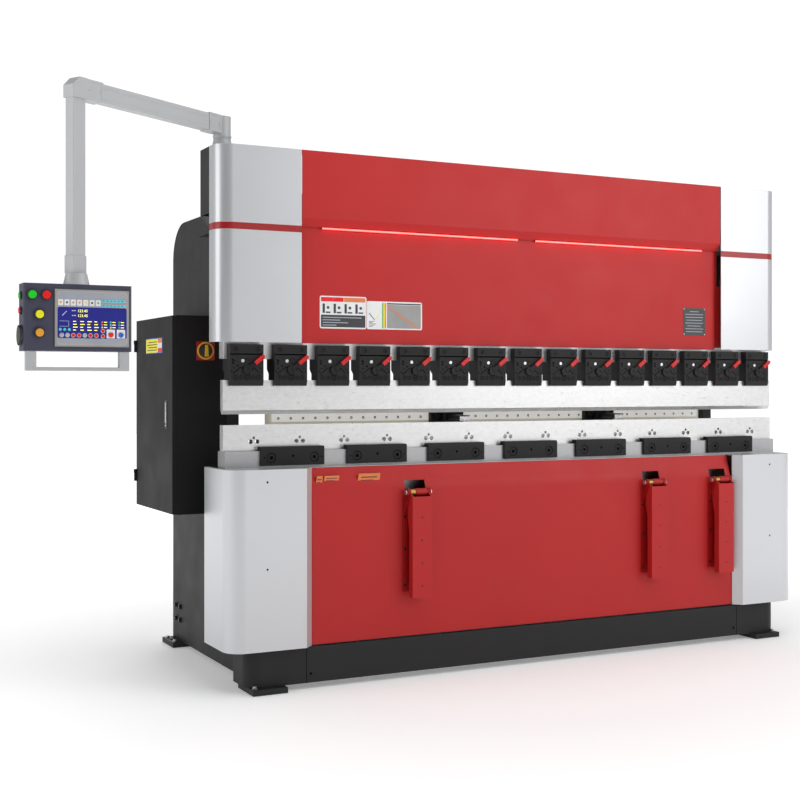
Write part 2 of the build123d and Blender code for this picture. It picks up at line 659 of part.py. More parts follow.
def upper_cover():
    """Right-hand corner cover of the ram housing, with a shallow groove for its accent band."""
    width = UPPER_HALF - UPPER_INNER
    depth = UPPER_BACK - UPPER_FRONT
    place = Pos(UPPER_INNER + width / 2, UPPER_FRONT + depth / 2)
    outer = place * Rectangle(width, depth)
    outer = fillet(near(outer.vertices(), UPPER_HALF, UPPER_FRONT), UPPER_RADIUS)
    open_side = Pos(-SHEET, SHEET) * place * Rectangle(width, depth)
    corner = near(open_side.vertices(), UPPER_HALF - SHEET, UPPER_FRONT + SHEET)
    open_side = fillet(corner, UPPER_RADIUS - SHEET)
    cover = extrude_z(outer - open_side, UPPER_LOW, UPPER_HIGH)
    cover += extrude_z(outer, UPPER_HIGH - SHEET, UPPER_HIGH)
    groove_floor = Pos(-BAND_DEPTH, BAND_DEPTH) * place * Rectangle(width, depth + 2 * BAND_DEPTH)
    corner = near(groove_floor.vertices(), UPPER_HALF - BAND_DEPTH, UPPER_FRONT)
    groove_floor = fillet(corner, UPPER_RADIUS - BAND_DEPTH)
    groove_floor = Pos(0, BAND_DEPTH) * groove_floor
    ring = place * Rectangle(width + 20, depth + 20) - groove_floor
    ring -= Pos(UPPER_INNER - 10, 0) * Rectangle(20, 4 * depth)
    ring -= Pos(UPPER_INNER + width / 2, UPPER_BACK + 10) * Rectangle(width - 20, 20)
    return cover - extrude_z(ring, BAND_LOW, BAND_HIGH)


def cylinder_hood():
    """Dark housing behind the upper cover, open to the front and below."""
    hood = block(HOOD_INNER, UPPER_HALF, UPPER_BACK, HOOD_BACK, HOOD_LOW, UPPER_HIGH)
    x0, x1 = HOOD_INNER + SHEET, UPPER_HALF - SHEET
    hood -= block(x0, x1, UPPER_BACK - 1, HOOD_BACK - SHEET, HOOD_LOW - 1, UPPER_HIGH - SHEET)
    return hood - rod_y(CYL_X, HOOD_BACK - 10, HOOD_BACK + 1, PIPE_Z, PIPE_R + PIPE_HOLE_GAP)


def upper_front_panel():
    """Fixed fascia: lid, front sheet and a lip that slopes back over the moving panel."""
    slant = SHEET * 1.2
    outline = [
        (FASCIA_FRONT, UPPER_HIGH), (FASCIA_FRONT, FASCIA_KNEE), (FASCIA_LIP_Y, BAND_HIGH),
        (FASCIA_LIP_Y + slant, BAND_HIGH), (FASCIA_FRONT + SHEET, FASCIA_KNEE + SHEET),
        (FASCIA_FRONT + SHEET, UPPER_HIGH - SHEET), (UPPER_BACK, UPPER_HIGH - SHEET),
        (UPPER_BACK, UPPER_HIGH),
    ]
    return extrude_x(outline, -FASCIA_HALF, FASCIA_HALF)


def lower_front_panel():
    """Apron below the table: upright front, a face that leans back, and a ledge to the table."""
    top_y = APRON_FRONT + APRON_LEAN
    outline = [
        (APRON_FRONT, APRON_LOW), (APRON_FRONT, APRON_KNEE), (top_y, APRON_TOP),
        (APRON_LEDGE_Y, APRON_TOP), (APRON_LEDGE_Y, APRON_TOP - SHEET),
        (top_y + SHEET * 0.8, APRON_TOP - SHEET), (APRON_FRONT + SHEET, APRON_KNEE - 1),
        (APRON_FRONT + SHEET, APRON_LOW),
    ]
    apron = extrude_x(outline, -APRON_HALF, APRON_HALF)
    y0, y1 = APRON_FRONT - 1, APRON_FRONT + SLOT_REACH
    for x in SUPPORT_XS:
        apron -= block(x - SLOT_HALF, x + SLOT_HALF, y0, y1, SLOT_LOW, SLOT_HIGH)
    return apron


# ---------------------------------------------------------------- folding supports

def support_bracket(x):
    """Wall bracket on the apron: back plate, two ears, and the hinge pin between them."""
    plate = block(x - BRACKET_HALF, x + BRACKET_HALF, APRON_FRONT - BRACKET_SHEET, APRON_FRONT,
                  BRACKET_LOW, BRACKET_HIGH)
    for z in (BRACKET_LOW + 30, BRACKET_LOW + 60, BRACKET_LOW + 90):
        plate -= rod_y(x, APRON_FRONT - BRACKET_SHEET - 1, APRON_FRONT + 1, z, SUPPORT_HOLE_R)
    ear_back = APRON_FRONT - BRACKET_SHEET
    ear_top = PIVOT_Z + PIVOT_BOSS_R
    ear_front = PIVOT_Y - PIVOT_BOSS_R
    outline = [
        (ear_back, EAR_LOW), (ear_back, ear_top - 4), (ear_back - 8, ear_top),
        (PIVOT_Y - 10, ear_top), (ear_front, PIVOT_Z + 6), (ear_front, PIVOT_Z - 20),
    ]
    for side in (-1, 1):
        x0 = x + side * EAR_INNER
        x1 = x0 + side * EAR_THICK
        ear = extrude_x(outline, min(x0, x1), max(x0, x1))
        plate += ear - rod_x(x - BRACKET_HALF, x + BRACKET_HALF, PIVOT_Y, PIVOT_Z, PIVOT_R)
    reach = EAR_INNER + EAR_THICK + 3
    return [plate, rod_x(x - reach, x + reach, PIVOT_Y, PIVOT_Z, PIVOT_R)]


def support_arm(x):
    """Folded channel that hangs in front of the apron and swings up about its top pin."""
    t = SUPPORT_SHEET
    front = block(x - SUPPORT_HALF, x + SUPPORT_HALF, SUPPORT_FRONT, SUPPORT_FRONT + t,
                  SUPPORT_LOW, SUPPORT_HIGH)
    for z in SUPPORT_HOLE_ZS:
        front -= rod_y(x, SUPPORT_FRONT - 1, SUPPORT_FRONT + t + 1, z, SUPPORT_HOLE_R)
    flange = [
        (SUPPORT_FRONT, SUPPORT_LOW), (SUPPORT_EDGE_LOW, SUPPORT_LOW),
        (SUPPORT_EDGE_LOW, SUPPORT_STEP_LOW),
        (SUPPORT_EDGE, SUPPORT_STEP_HIGH), (SUPPORT_EDGE, PIVOT_Z), (PIVOT_Y, PIVOT_Z),
        (PIVOT_Y - PIVOT_BOSS_R, PIVOT_Z), (SUPPORT_FRONT, SUPPORT_HIGH),
    ]
    hole = rod_x(x - SUPPORT_HALF - 1, x + SUPPORT_HALF + 1, PIVOT_Y, PIVOT_Z, PIVOT_R + FIT)
    boss = rod_x(0, t, PIVOT_Y, PIVOT_Z, PIVOT_BOSS_R)
    for x0 in (x - SUPPORT_HALF, x + SUPPORT_HALF - t):
        side = extrude_x(flange, x0, x0 + t)
        side += Pos(x0, 0, 0) * boss
        front += side - hole
    return front


# ---------------------------------------------------------------- cabinet

def electrical_cabinet():
    x0 = CABINET_LEFT + DOOR_THICK + 0.5
    x1 = -FRAME_OUTER
    box = block(x0, x1, CABINET_FRONT, CABINET_BACK, CABINET_LOW, CABINET_HIGH)
    t = CABINET_SHEET
    box -= block(x0 - 1, x1 - t, CABINET_FRONT + t, CABINET_BACK - t, CABINET_LOW + t, CABINET_HIGH - t)
    for z in HINGE_ZS:
        z1 = z + HINGE_KNUCKLE + HINGE_LUG
        z0 = z1 - HINGE_LUG
        box += block(HINGE_X - HINGE_R, x0 + 20, CABINET_BACK, CABINET_BACK + 4, z0, z1)
        box += block(HINGE_X - HINGE_R, HINGE_X + HINGE_R, HINGE_Y, CABINET_BACK + 4, z0, z1)
        box += rod_z(HINGE_X, HINGE_Y, z0, z1, HINGE_R)
        box += rod_z(HINGE_X, HINGE_Y, z, z1, HINGE_PIN_R)
    half = SWITCH_PLATE / 2
    plate_y = CABINET_FRONT - SWITCH_PLATE_THICK
    z0, z1 = SWITCH_Z - half, SWITCH_Z + half
    plate = block(SWITCH_X - half, SWITCH_X + half, plate_y, CABINET_FRONT, z0, z1)
    plate -= rod_y(SWITCH_X, plate_y - 1, CABINET_FRONT + 1, SWITCH_Z, KNOB_SHAFT_R + FIT)
    box -= rod_y(SWITCH_X, CABINET_FRONT - 1, CABINET_FRONT + 10, SWITCH_Z, KNOB_SHAFT_R + FIT)
    return box, plate


def cabinet_door():
    x0, x1 = CABINET_LEFT, CABINET_LEFT + DOOR_THICK
    y0, y1 = CABINET_FRONT + DOOR_MARGIN, CABINET_BACK - DOOR_MARGIN
    z0, z1 = CABINET_LOW + DOOR_MARGIN, CABINET_HIGH - DOOR_MARGIN
    t = CABINET_SHEET
    door = block(x0, x1, y0, y1, z0, z1)
    door -= block(x0 + t, x1 + 1, y0 + t, y1 - t, z0 + t, z1 - t)
    door += block(x0, x0 + 12, LATCH_Y - 24, LATCH_Y + 24, LATCH_Z - 75, LATCH_Z + 75)
    door -= block(x0 - 1, x0 + 8, LATCH_Y - LATCH_HALF_WIDTH, LATCH_Y + LATCH_HALF_WIDTH,
                  LATCH_Z - LATCH_HALF_HEIGHT, LATCH_Z + LATCH_HALF_HEIGHT)
    for z in HINGE_ZS:
        top = z + HINGE_KNUCKLE - RUN_GAP
        knuckle = rod_z(HINGE_X, HINGE_Y, z, top, HINGE_R)
        knuckle += block(HINGE_X, x0 + 1, HINGE_Y - HINGE_R, HINGE_Y, z, top)
        door += knuckle - rod_z(HINGE_X, HINGE_Y, z - 1, top + 1, HINGE_PIN_R + FIT)
    return door


def main_switch_knob():
    back = CABINET_FRONT - SWITCH_PLATE_THICK - RUN_GAP
    grip_back = back - KNOB_BASE
    grip_front = back - KNOB_DEPTH
    x0, x1 = SWITCH_X - KNOB_GRIP_HALF, SWITCH_X + KNOB_GRIP_HALF
    base = rod_y(SWITCH_X, grip_back, back, SWITCH_Z, KNOB_R)
    grip = block(x0, x1, grip_front, grip_back, SWITCH_Z - KNOB_R, SWITCH_Z + KNOB_R)
    grip &= rod_y(SWITCH_X, grip_front, back, SWITCH_Z, KNOB_R)
    return base + grip + rod_y(SWITCH_X, back, back + KNOB_SHAFT_LENGTH, SWITCH_Z, KNOB_SHAFT_R)


# ---------------------------------------------------------------- console

ELBOW_X = POST_X + ARM_LENGTH * cos(radians(ARM_HEADING))
ELBOW_Y = POST_Y + ARM_LENGTH * sin(radians(ARM_HEADING))
CONSOLE_LEFT = ELBOW_X - CONSOLE_WIDTH / 2
CONSOLE_RIGHT = ELBOW_X + CONSOLE_WIDTH / 2
CONSOLE_BACK = ELBOW_Y + 35.0
CONSOLE_FRONT = CONSOLE_BACK - CONSOLE_DEPTH
CONSOLE_BOTTOM = CONSOLE_TOP - CONSOLE_HEIGHT
SIDE_Y = (CONSOLE_FRONT + CONSOLE_BACK) / 2


def console_post():
    z0 = UPPER_HIGH
    z1 = z0 + POST_FLANGE_THICK
    z2 = z1 + POST_CONE_HEIGHT
    post = rod_z(POST_X, POST_Y, z0, z1, POST_FLANGE_R)
    cone = Cone(POST_FLANGE_R - 6, POST_CONE_TOP_R, POST_CONE_HEIGHT)
    post += Pos(POST_X, POST_Y, (z1 + z2) / 2) * cone
    return post + rod_z(POST_X, POST_Y, z2, z2 + POST_SPIGOT_HEIGHT, POST_SPIGOT_R)


def console_arm():
    """Hub on the post, level tube, elbow, drop tube and collar, as one rigid arm."""
    low = UPPER_HIGH + POST_FLANGE_THICK + POST_CONE_HEIGHT + RUN_GAP
    top = ARM_Z + ARM_HEIGHT / 2
    hub = Cylinder(HUB_R, top - low)
    hub = Pos(0, 0, (low + top) / 2) * hub
    tube = block(0, ARM_LENGTH, -ARM_THICK / 2, ARM_THICK / 2, ARM_Z - ARM_HEIGHT / 2, top)
    pad = ELBOW_PAD
    elbow_half = DROP_WIDTH / 2 + pad
    elbow = block(ARM_LENGTH - elbow_half, ARM_LENGTH + elbow_half, -ARM_THICK / 2 - pad,
                  ARM_THICK / 2 + pad, ARM_Z - ARM_HEIGHT / 2 - pad, top + pad)
    outer_edges = elbow.edges().filter_by(Axis.Y).group_by(Axis.Z)[-1].sort_by(Axis.X)
    elbow = chamfer(outer_edges[-1], 34)
    drop = block(ARM_LENGTH - DROP_WIDTH / 2, ARM_LENGTH + DROP_WIDTH / 2, -DROP_THICK / 2,
                 DROP_THICK / 2, COLLAR_LOW, ARM_Z)
    wide = DROP_WIDTH / 2 + COLLAR_PAD
    deep = DROP_THICK / 2 + COLLAR_PAD
    collar = block(ARM_LENGTH - wide, ARM_LENGTH + wide, -deep, deep, COLLAR_LOW, COLLAR_HIGH)
    arm = hub + tube + elbow + drop + collar
    spigot_top = low - RUN_GAP + POST_SPIGOT_HEIGHT
    arm -= rod_z(0, 0, low - 1, spigot_top + 1, POST_SPIGOT_R + FIT)
    pendant_top = COLLAR_LOW + PENDANT_SPIGOT_HEIGHT + 1
    arm -= rod_z(ARM_LENGTH, 0, COLLAR_LOW - 1, pendant_top, PENDANT_SPIGOT_R + FIT)
    return Pos(POST_X, POST_Y, 0) * Rot(0, 0, ARM_HEADING) * arm


def button_seats():
    """Centre and radius of each stem hole in the console's front."""
    return [(CONSOLE_LEFT + dx, CONSOLE_TOP - dz) for dx, dz in FRONT_BUTTONS.values()]


def console_box():
    """Enclosure, its back lid, the keypad bezel, the side dial and the button rings."""
    w = CONSOLE_WALL
    shell = block(CONSOLE_LEFT, CONSOLE_RIGHT, CONSOLE_FRONT, CONSOLE_BACK, CONSOLE_BOTTOM, CONSOLE_TOP)
    shell = chamfer(shell.edges().filter_by(Axis.Z).group_by(Axis.Y)[0], 5)
    shell -= block(CONSOLE_LEFT + w, CONSOLE_RIGHT - w, CONSOLE_FRONT + w, CONSOLE_BACK + 1,
                   CONSOLE_BOTTOM + w, CONSOLE_TOP - w)
    stem_hole = BUTTON_STEM_R + RUN_GAP
    for x, z in button_seats():
        shell -= rod_y(x, CONSOLE_FRONT - 1, CONSOLE_FRONT + w + 1, z, stem_hole)
    for dz in SIDE_BUTTONS.values():
        shell -= rod_x(CONSOLE_LEFT - 1, CONSOLE_LEFT + w + 1, SIDE_Y, CONSOLE_TOP - dz, stem_hole)
    dome = Cone(DOME_LOW_R, DOME_HIGH_R, COLLAR_LOW - RUN_GAP - CONSOLE_TOP)
    shell += Pos(ELBOW_X, ELBOW_Y - 14, (COLLAR_LOW - RUN_GAP + CONSOLE_TOP) / 2) * dome
    spigot_top = COLLAR_LOW + PENDANT_SPIGOT_HEIGHT
    shell += rod_z(ELBOW_X, ELBOW_Y, COLLAR_LOW - 5, spigot_top, PENDANT_SPIGOT_R)
    lid = block(CONSOLE_LEFT, CONSOLE_RIGHT, CONSOLE_BACK, CONSOLE_BACK + w, CONSOLE_BOTTOM, CONSOLE_TOP)
    dial_z = CONSOLE_TOP - SIDE_DIAL_DROP
    dial = rod_x(CONSOLE_LEFT - SIDE_DIAL_THICK, CONSOLE_LEFT, SIDE_Y, dial_z, SIDE_DIAL_R)
    return [shell, lid, keypad_bezel(), dial] + button_rings()


def keypad_bezel():
    x1 = CONSOLE_RIGHT - BEZEL_RIGHT_GAP
    x0 = x1 - BEZEL_WIDTH
    z1 = CONSOLE_TOP - BEZEL_TOP_GAP
    z0 = z1 - BEZEL_HEIGHT
    front = CONSOLE_FRONT - BEZEL_THICK
    b = BEZEL_BORDER
    plate = block(x0, x1, front, CONSOLE_FRONT, z0, z1)
    return plate - block(x0 + b, x1 - b, front - 1, front + BEZEL_RECESS, z0 + b, z1 - b)


def button_rings():
    rings = []
    for x, z in button_seats():
        ring = rod_y(x, CONSOLE_FRONT - BUTTON_RING_THICK, CONSOLE_FRONT, z, BUTTON_RING_R)
        rings.append(ring - rod_y(x, CONSOLE_FRONT - 20, CONSOLE_FRONT + 1, z, BUTTON_R + RUN_GAP))
    side_hole = SIDE_BUTTON_R + RUN_GAP
    for dz in SIDE_BUTTONS.values():
        z = CONSOLE_TOP - dz
        ring = rod_x(CONSOLE_LEFT - BUTTON_RING_THICK, CONSOLE_LEFT, SIDE_Y, z, SIDE_RING_R)
        rings.append(ring - rod_x(CONSOLE_LEFT - 20, CONSOLE_LEFT + 1, SIDE_Y, z, side_hole))
    return rings


def front_button(dx, dz):
    x, z = CONSOLE_LEFT + dx, CONSOLE_TOP - dz
    back = CONSOLE_FRONT - BUTTON_LIFT
    head = rod_y(x, back - BUTTON_HEAD, back, z, BUTTON_R)
    return head + rod_y(x, back, back + BUTTON_STEM, z, BUTTON_STEM_R)


def side_button(dz):
    z = CONSOLE_TOP - dz
    back = CONSOLE_LEFT - BUTTON_LIFT
    head = rod_x(back - BUTTON_HEAD, back, SIDE_Y, z, SIDE_BUTTON_R)
    return head + rod_x(back, back + BUTTON_STEM, SIDE_Y, z, BUTTON_STEM_R)


def console_handle():
    x0, x1 = CONSOLE_LEFT + HANDLE_INSET, CONSOLE_RIGHT - HANDLE_INSET
    y0, y1 = CONSOLE_FRONT + 2, CONSOLE_FRONT + 2 + HANDLE_DEPTH
    low = CONSOLE_BOTTOM - HANDLE_DROP
    handle = block(x0, x0 + HANDLE_LEG, y0, y1, low, CONSOLE_BOTTOM)
    handle += block(x1 - HANDLE_LEG, x1, y0, y1, low, CONSOLE_BOTTOM)
    return handle + block(x0, x1, y0, y1, low, low + HANDLE_BAR)


# ---------------------------------------------------------------- back gauge

def gauge_guide():
    x0, x1 = GAUGE_GUIDE_X - GAUGE_GUIDE_HALF, GAUGE_GUIDE_X + GAUGE_GUIDE_HALF
    guide = block(x0, x1, TABLE_HALF_DEPTH, GAUGE_GUIDE_BACK, GAUGE_GUIDE_LOW, GAUGE_GUIDE_HIGH)
    rail_x0, rail_x1 = GAUGE_GUIDE_X - GAUGE_RAIL_HALF, GAUGE_GUIDE_X + GAUGE_RAIL_HALF
    rail_y0, rail_y1 = TABLE_HALF_DEPTH + 30, GAUGE_GUIDE_BACK - 10
    top = GAUGE_GUIDE_HIGH + GAUGE_RAIL_HEIGHT
    return guide + block(rail_x0, rail_x1, rail_y0, rail_y1, GAUGE_GUIDE_HIGH, top)


def backgauge_beam():
    beam = block(GAUGE_BEAM_LEFT, GAUGE_BEAM_RIGHT, GAUGE_BEAM_FRONT, GAUGE_BEAM_BACK,
                 GAUGE_BEAM_LOW, GAUGE_BEAM_HIGH)
    count = int((GAUGE_BEAM_RIGHT - GAUGE_BEAM_LEFT - 60) / GAUGE_HOLE_PITCH)
    first = (GAUGE_BEAM_LEFT + GAUGE_BEAM_RIGHT - count * GAUGE_HOLE_PITCH) / 2
    y0, y1 = GAUGE_BEAM_FRONT - 1, GAUGE_BEAM_FRONT + GAUGE_HOLE_DEPTH
    holes = []
    for i in range(count + 1):
        x = first + i * GAUGE_HOLE_PITCH
        holes.append(rod_y(x, y0, y1, GAUGE_HOLE_Z, GAUGE_HOLE_R))
    beam -= holes
    carriage = block(GAUGE_GUIDE_X - CARRIAGE_HALF, GAUGE_GUIDE_X + CARRIAGE_HALF, CARRIAGE_FRONT,
                     CARRIAGE_BACK, GAUGE_GUIDE_HIGH + GAUGE_RAIL_HEIGHT + RUN_GAP, GAUGE_BEAM_LOW)
    return [beam] + both_sides(carriage)


def gauge_finger(x):
    """Stop finger that hooks over the gauge beam and slides along it."""
    back = GAUGE_BEAM_FRONT - RUN_GAP
    front = back - FINGER_PLATE
    under = GAUGE_BEAM_HIGH + RUN_GAP
    top = under + FINGER_HOOK
    finger = block(x - FINGER_HALF, x + FINGER_HALF, front, back, FINGER_PLATE_LOW, top)
    finger += block(x - FINGER_HALF, x + FINGER_HALF, front, GAUGE_BEAM_BACK, under, top)
    arm_x0, arm_x1 = x - FINGER_ARM_HALF, x + FINGER_ARM_HALF
    finger += block(arm_x0, arm_x1, FINGER_TIP, front, FINGER_ARM_LOW, FINGER_ARM_HIGH)
    tip_back = FINGER_TIP + FINGER_TIP_DEPTH
    return finger + block(x - FINGER_TIP_HALF, x + FINGER_TIP_HALF, FINGER_TIP, tip_back,
                          FINGER_TIP_LOW, FINGER_ARM_HIGH)


# ---------------------------------------------------------------- hydraulics

def oil_tank():
    y0, y1 = TIE_BACK, TIE_BACK + TANK_DEPTH
    tank = block(-TANK_HALF, TANK_HALF, y0, y1, TANK_LOW, TANK_HIGH)
    w = TANK_WALL
    return tank - block(-TANK_HALF + w, TANK_HALF - w, y0 + w, y1 - w, TANK_LOW + w, TANK_HIGH + 1)


def hydraulic_power_pack():
    """Tank, lid, pump motor, valve block, filter and the two pipes to the cylinders."""
    lid_top = TANK_HIGH + LID_THICK
    lid = block(-TANK_HALF, TANK_HALF, TIE_BACK, TIE_BACK + TANK_DEPTH, TANK_HIGH, lid_top)
    motor = rod_z(MOTOR_X, PACK_Y, lid_top, lid_top + MOTOR_HEIGHT, MOTOR_R)
    half = VALVE_SIZE / 2
    x0, x1 = VALVE_X - half, VALVE_X + half
    valve = block(x0, x1, PACK_Y - half, PACK_Y + half, lid_top, lid_top + VALVE_HEIGHT)
    filter_can = rod_z(FILTER_X, PACK_Y, lid_top, lid_top + FILTER_HEIGHT, FILTER_R)
    return [oil_tank(), lid, motor, valve, filter_can] + pressure_pipes()


def pressure_pipes():
    """One pipe from each side of the valve block to the back of a cylinder."""
    pipes = []
    half = VALVE_SIZE / 2
    port_y = CYL_Y + CYL_R - PIPE_PORT_DEPTH
    for side in (1, -1):
        start_x = VALVE_X + side * half
        turn_x = start_x + side * PIPE_RUN_OUT
        route = [
            (start_x, PACK_Y, PIPE_Z), (turn_x, PACK_Y, PIPE_Z), (turn_x, PIPE_BACK, PIPE_Z),
            (side * CYL_X, PIPE_BACK, PIPE_Z), (side * CYL_X, port_y, PIPE_Z),
        ]
        path = FilletPolyline(*route, radius=PIPE_BEND_R)
        section = Plane(origin=path @ 0, z_dir=path % 0) * Circle(PIPE_R)
        pipes.append(sweep(section, path=path))
    return pipes


def main():
    os.makedirs("parts", exist_ok=True)
    frame_right = side_frame()
    save("side_frame_right", frame_right)
    save("side_frame_left", mirrored(frame_right))
    save("cross_members", *cross_members())
    save("table_beam", table_beam())
    save("anchor_feet", *anchor_feet())
    save("base_plinth", base_plinth())
    save("die_rail", die_rail())
    save("die_clamps", *die_clamps())
    save("ram_beam", ram_beam())
    save("ram_front_panel", ram_front_panel())
    save("punch", punch())
    save("tool_clamps", *[tool_clamp(clamp_x(i)) for i in range(TOOL_CLAMPS)])
    for i in range(TOOL_CLAMPS):
        save(f"clamp_lever_{i + 1:02d}", clamp_lever(clamp_x(i)))
    save("piston_rods", *both_sides(piston_rod()), *both_sides(ram_head_block()))
    save("cylinder_barrels", *both_sides(cylinder_barrel()))
    save("cylinder_shelves", *both_sides(cylinder_shelf()))
    save("ram_guides", *both_sides(ram_guide()))
    cover = lower_cover()
    save("lower_cover_right", cover)
    save("lower_cover_left", mirrored(cover))
    cover = upper_cover()
    save("upper_cover_right", cover)
    save("upper_cover_left", mirrored(cover))
    save("cylinder_hoods", *both_sides(cylinder_hood()))
    save("upper_front_panel", upper_front_panel())
    save("lower_front_panel", lower_front_panel())
    brackets = []
    for i, x in enumerate(SUPPORT_XS):
        brackets += support_bracket(x)
        save(f"support_arm_{i + 1}", support_arm(x))
    save("support_brackets", *brackets)
    save("electrical_cabinet", *electrical_cabinet())
    save("cabinet_door", cabinet_door())
    save("main_switch_knob", main_switch_knob())
    save("console_post", console_post())
    save("console_arm", console_arm())
    save("console_box", *console_box())
    save("console_handle", console_handle())
    for name, (dx, dz) in FRONT_BUTTONS.items():
        save(name, front_button(dx, dz))
    for name, dz in SIDE_BUTTONS.items():
        save(name, side_button(dz))
    save("backgauge_guides", *both_sides(gauge_guide()))
    save("backgauge_beam", *backgauge_beam())
    for name, x in FINGERS.items():
        save(name, gauge_finger(x))
    save("hydraulic_power_pack", *hydraulic_power_pack())


if __name__ == "__main__":
    main()
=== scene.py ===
import json
from math import pi, radians

import bpy
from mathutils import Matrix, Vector

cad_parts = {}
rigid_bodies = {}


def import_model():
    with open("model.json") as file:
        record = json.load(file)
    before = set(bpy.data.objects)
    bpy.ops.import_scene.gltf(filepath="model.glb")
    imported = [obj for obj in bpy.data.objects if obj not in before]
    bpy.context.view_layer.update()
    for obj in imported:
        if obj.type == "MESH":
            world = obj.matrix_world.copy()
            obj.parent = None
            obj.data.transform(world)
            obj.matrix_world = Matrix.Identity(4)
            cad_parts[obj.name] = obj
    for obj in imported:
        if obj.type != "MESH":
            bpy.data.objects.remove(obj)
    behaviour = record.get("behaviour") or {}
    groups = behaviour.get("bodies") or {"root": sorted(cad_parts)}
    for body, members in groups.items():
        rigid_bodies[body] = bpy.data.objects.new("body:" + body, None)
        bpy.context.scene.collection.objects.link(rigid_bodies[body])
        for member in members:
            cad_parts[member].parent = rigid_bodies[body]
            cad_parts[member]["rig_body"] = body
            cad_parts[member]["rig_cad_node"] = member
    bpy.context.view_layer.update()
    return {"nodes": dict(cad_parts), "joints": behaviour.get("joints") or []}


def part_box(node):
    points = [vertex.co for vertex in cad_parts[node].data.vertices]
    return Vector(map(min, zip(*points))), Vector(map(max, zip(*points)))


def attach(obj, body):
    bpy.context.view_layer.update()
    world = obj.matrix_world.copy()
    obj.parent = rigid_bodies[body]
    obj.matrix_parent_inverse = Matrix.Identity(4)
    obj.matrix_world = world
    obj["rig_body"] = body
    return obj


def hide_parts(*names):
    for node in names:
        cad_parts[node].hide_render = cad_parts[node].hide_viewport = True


# Looks of a hydraulic press brake: painted covers, ground tooling, quick clamps, console and hydraulics.
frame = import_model()

TURN = {"X": (0, pi / 2, 0), "Y": (pi / 2, 0, 0), "Z": (0, 0, 0)}


# ---------------------------------------------------------------- bench tools

def deselect():
    bpy.ops.object.select_all(action="DESELECT")


def only(piece):
    deselect()
    piece.select_set(True)
    bpy.context.view_layer.objects.active = piece


def settle(piece):
    """Put the piece's place, turn and size into its mesh."""
    only(piece)
    bpy.ops.object.transform_apply(location=True, rotation=True, scale=True)
    return piece


def block(lo, hi):
    """A rectangular blank between two corners."""
    lo, hi = Vector(lo), Vector(hi)
    deselect()
    bpy.ops.mesh.primitive_cube_add(size=1, location=(lo + hi) / 2)
    piece = bpy.context.object
    piece.scale = hi - lo
    return settle(piece)


def bar(centre, radius, length, axis="Y", sides=32):
    """A round blank, or a hexagon when it has six sides."""
    deselect()
    bpy.ops.mesh.primitive_cylinder_add(
        vertices=sides, radius=radius, depth=length, location=centre, rotation=TURN[axis])
    return settle(bpy.context.object)


def pick(piece, kind, test):
    """Edit mode, with only the faces or edges that pass the test selected."""
    only(piece)
    bpy.ops.object.mode_set(mode="EDIT")
    bpy.ops.mesh.select_mode(type=kind)
    bpy.ops.mesh.select_all(action="DESELECT")
    bpy.ops.object.mode_set(mode="OBJECT")
    mesh = piece.data
    if kind == "FACE":
        for face in mesh.polygons:
            face.select = test(face.center, face.normal)
    else:
        for edge in mesh.edges:
            a, b = (mesh.vertices[i].co for i in edge.vertices)
            edge.select = test((a + b) / 2, (b - a).normalized())
    bpy.ops.object.mode_set(mode="EDIT")


def done():
    bpy.ops.object.mode_set(mode="OBJECT")


def pocket(piece, test, rim, depth):
    """Leave a rim round the chosen faces and sink what is inside it."""
    pick(piece, "FACE", test)
    bpy.ops.mesh.inset(thickness=rim)
    bpy.ops.mesh.inset(thickness=min(rim, abs(depth)) * 0.2, depth=-depth)
    done()
    return piece


def rounded(piece, radius, segments, test):
    """Round the chosen edges."""
    pick(piece, "EDGE", test)
    bpy.ops.mesh.bevel(offset=radius, segments=segments, affect="EDGES")
    done()
    return piece


def without(piece, test):
    """Take the chosen faces away."""
    pick(piece, "FACE", test)
    bpy.ops.mesh.delete(type="FACE")
    done()
    return piece


def modified(piece, kind, **settings):
    """Put a modifier with these settings into the mesh."""
    only(piece)
    step = piece.modifiers.new(kind, kind)
    for setting, value in settings.items():
        setattr(step, setting, value)
    bpy.ops.object.modifier_apply(modifier=step.name)
    return piece


def ease(piece, width, segments=2):
    """Break the sharp edges and smooth the curved faces."""
    modified(piece, "BEVEL", width=width, segments=segments, limit_method="ANGLE", angle_limit=radians(35))
    bpy.ops.object.shade_smooth_by_angle(angle=radians(38))
    return modified(piece, "WEIGHTED_NORMAL", keep_sharp=True, weight=100)


def cut(piece, tool):
    """Take the tool's shape out of the piece."""
    modified(piece, "BOOLEAN", operation="DIFFERENCE", solver="EXACT", object=tool)
    bpy.data.objects.remove(tool)
    return piece


def joined(pieces):
    deselect()
    for piece in pieces:
        piece.select_set(True)
    bpy.context.view_layer.objects.active = pieces[0]
    bpy.ops.object.join()
    return bpy.context.object


def copy_of(piece, move):
    """A twin with its own mesh, moved away from the first."""
    only(piece)
    bpy.ops.object.duplicate()
    twin = bpy.context.object
    bpy.ops.transform.translate(value=move)
    return settle(twin)


def row_of(piece, moves):
    """The piece and its twins as one."""
    return joined([piece] + [copy_of(piece, move) for move in moves])


def turned(piece, angle, spot, axis="Y"):
    """Turn a piece made about the origin, then carry it to its spot."""
    piece.rotation_euler["XYZ".index(axis)] = angle
    piece.location = spot
    return settle(piece)


def paint(piece, finish, test=None):
    """Give the whole piece a finish, or only the faces that pass the test."""
    if test is None:
        piece.data.materials.clear()
        piece.data.materials.append(finish)
        return piece
    piece.data.materials.append(finish)
    place = len(piece.data.materials) - 1
    for face in piece.data.polygons:
        if test(face.center, face.normal):
            face.material_index = place
    return piece


def coated(piece, width, finish, segments=2):
    """Break the edges of the piece and paint it."""
    return paint(ease(piece, width, segments), finish)


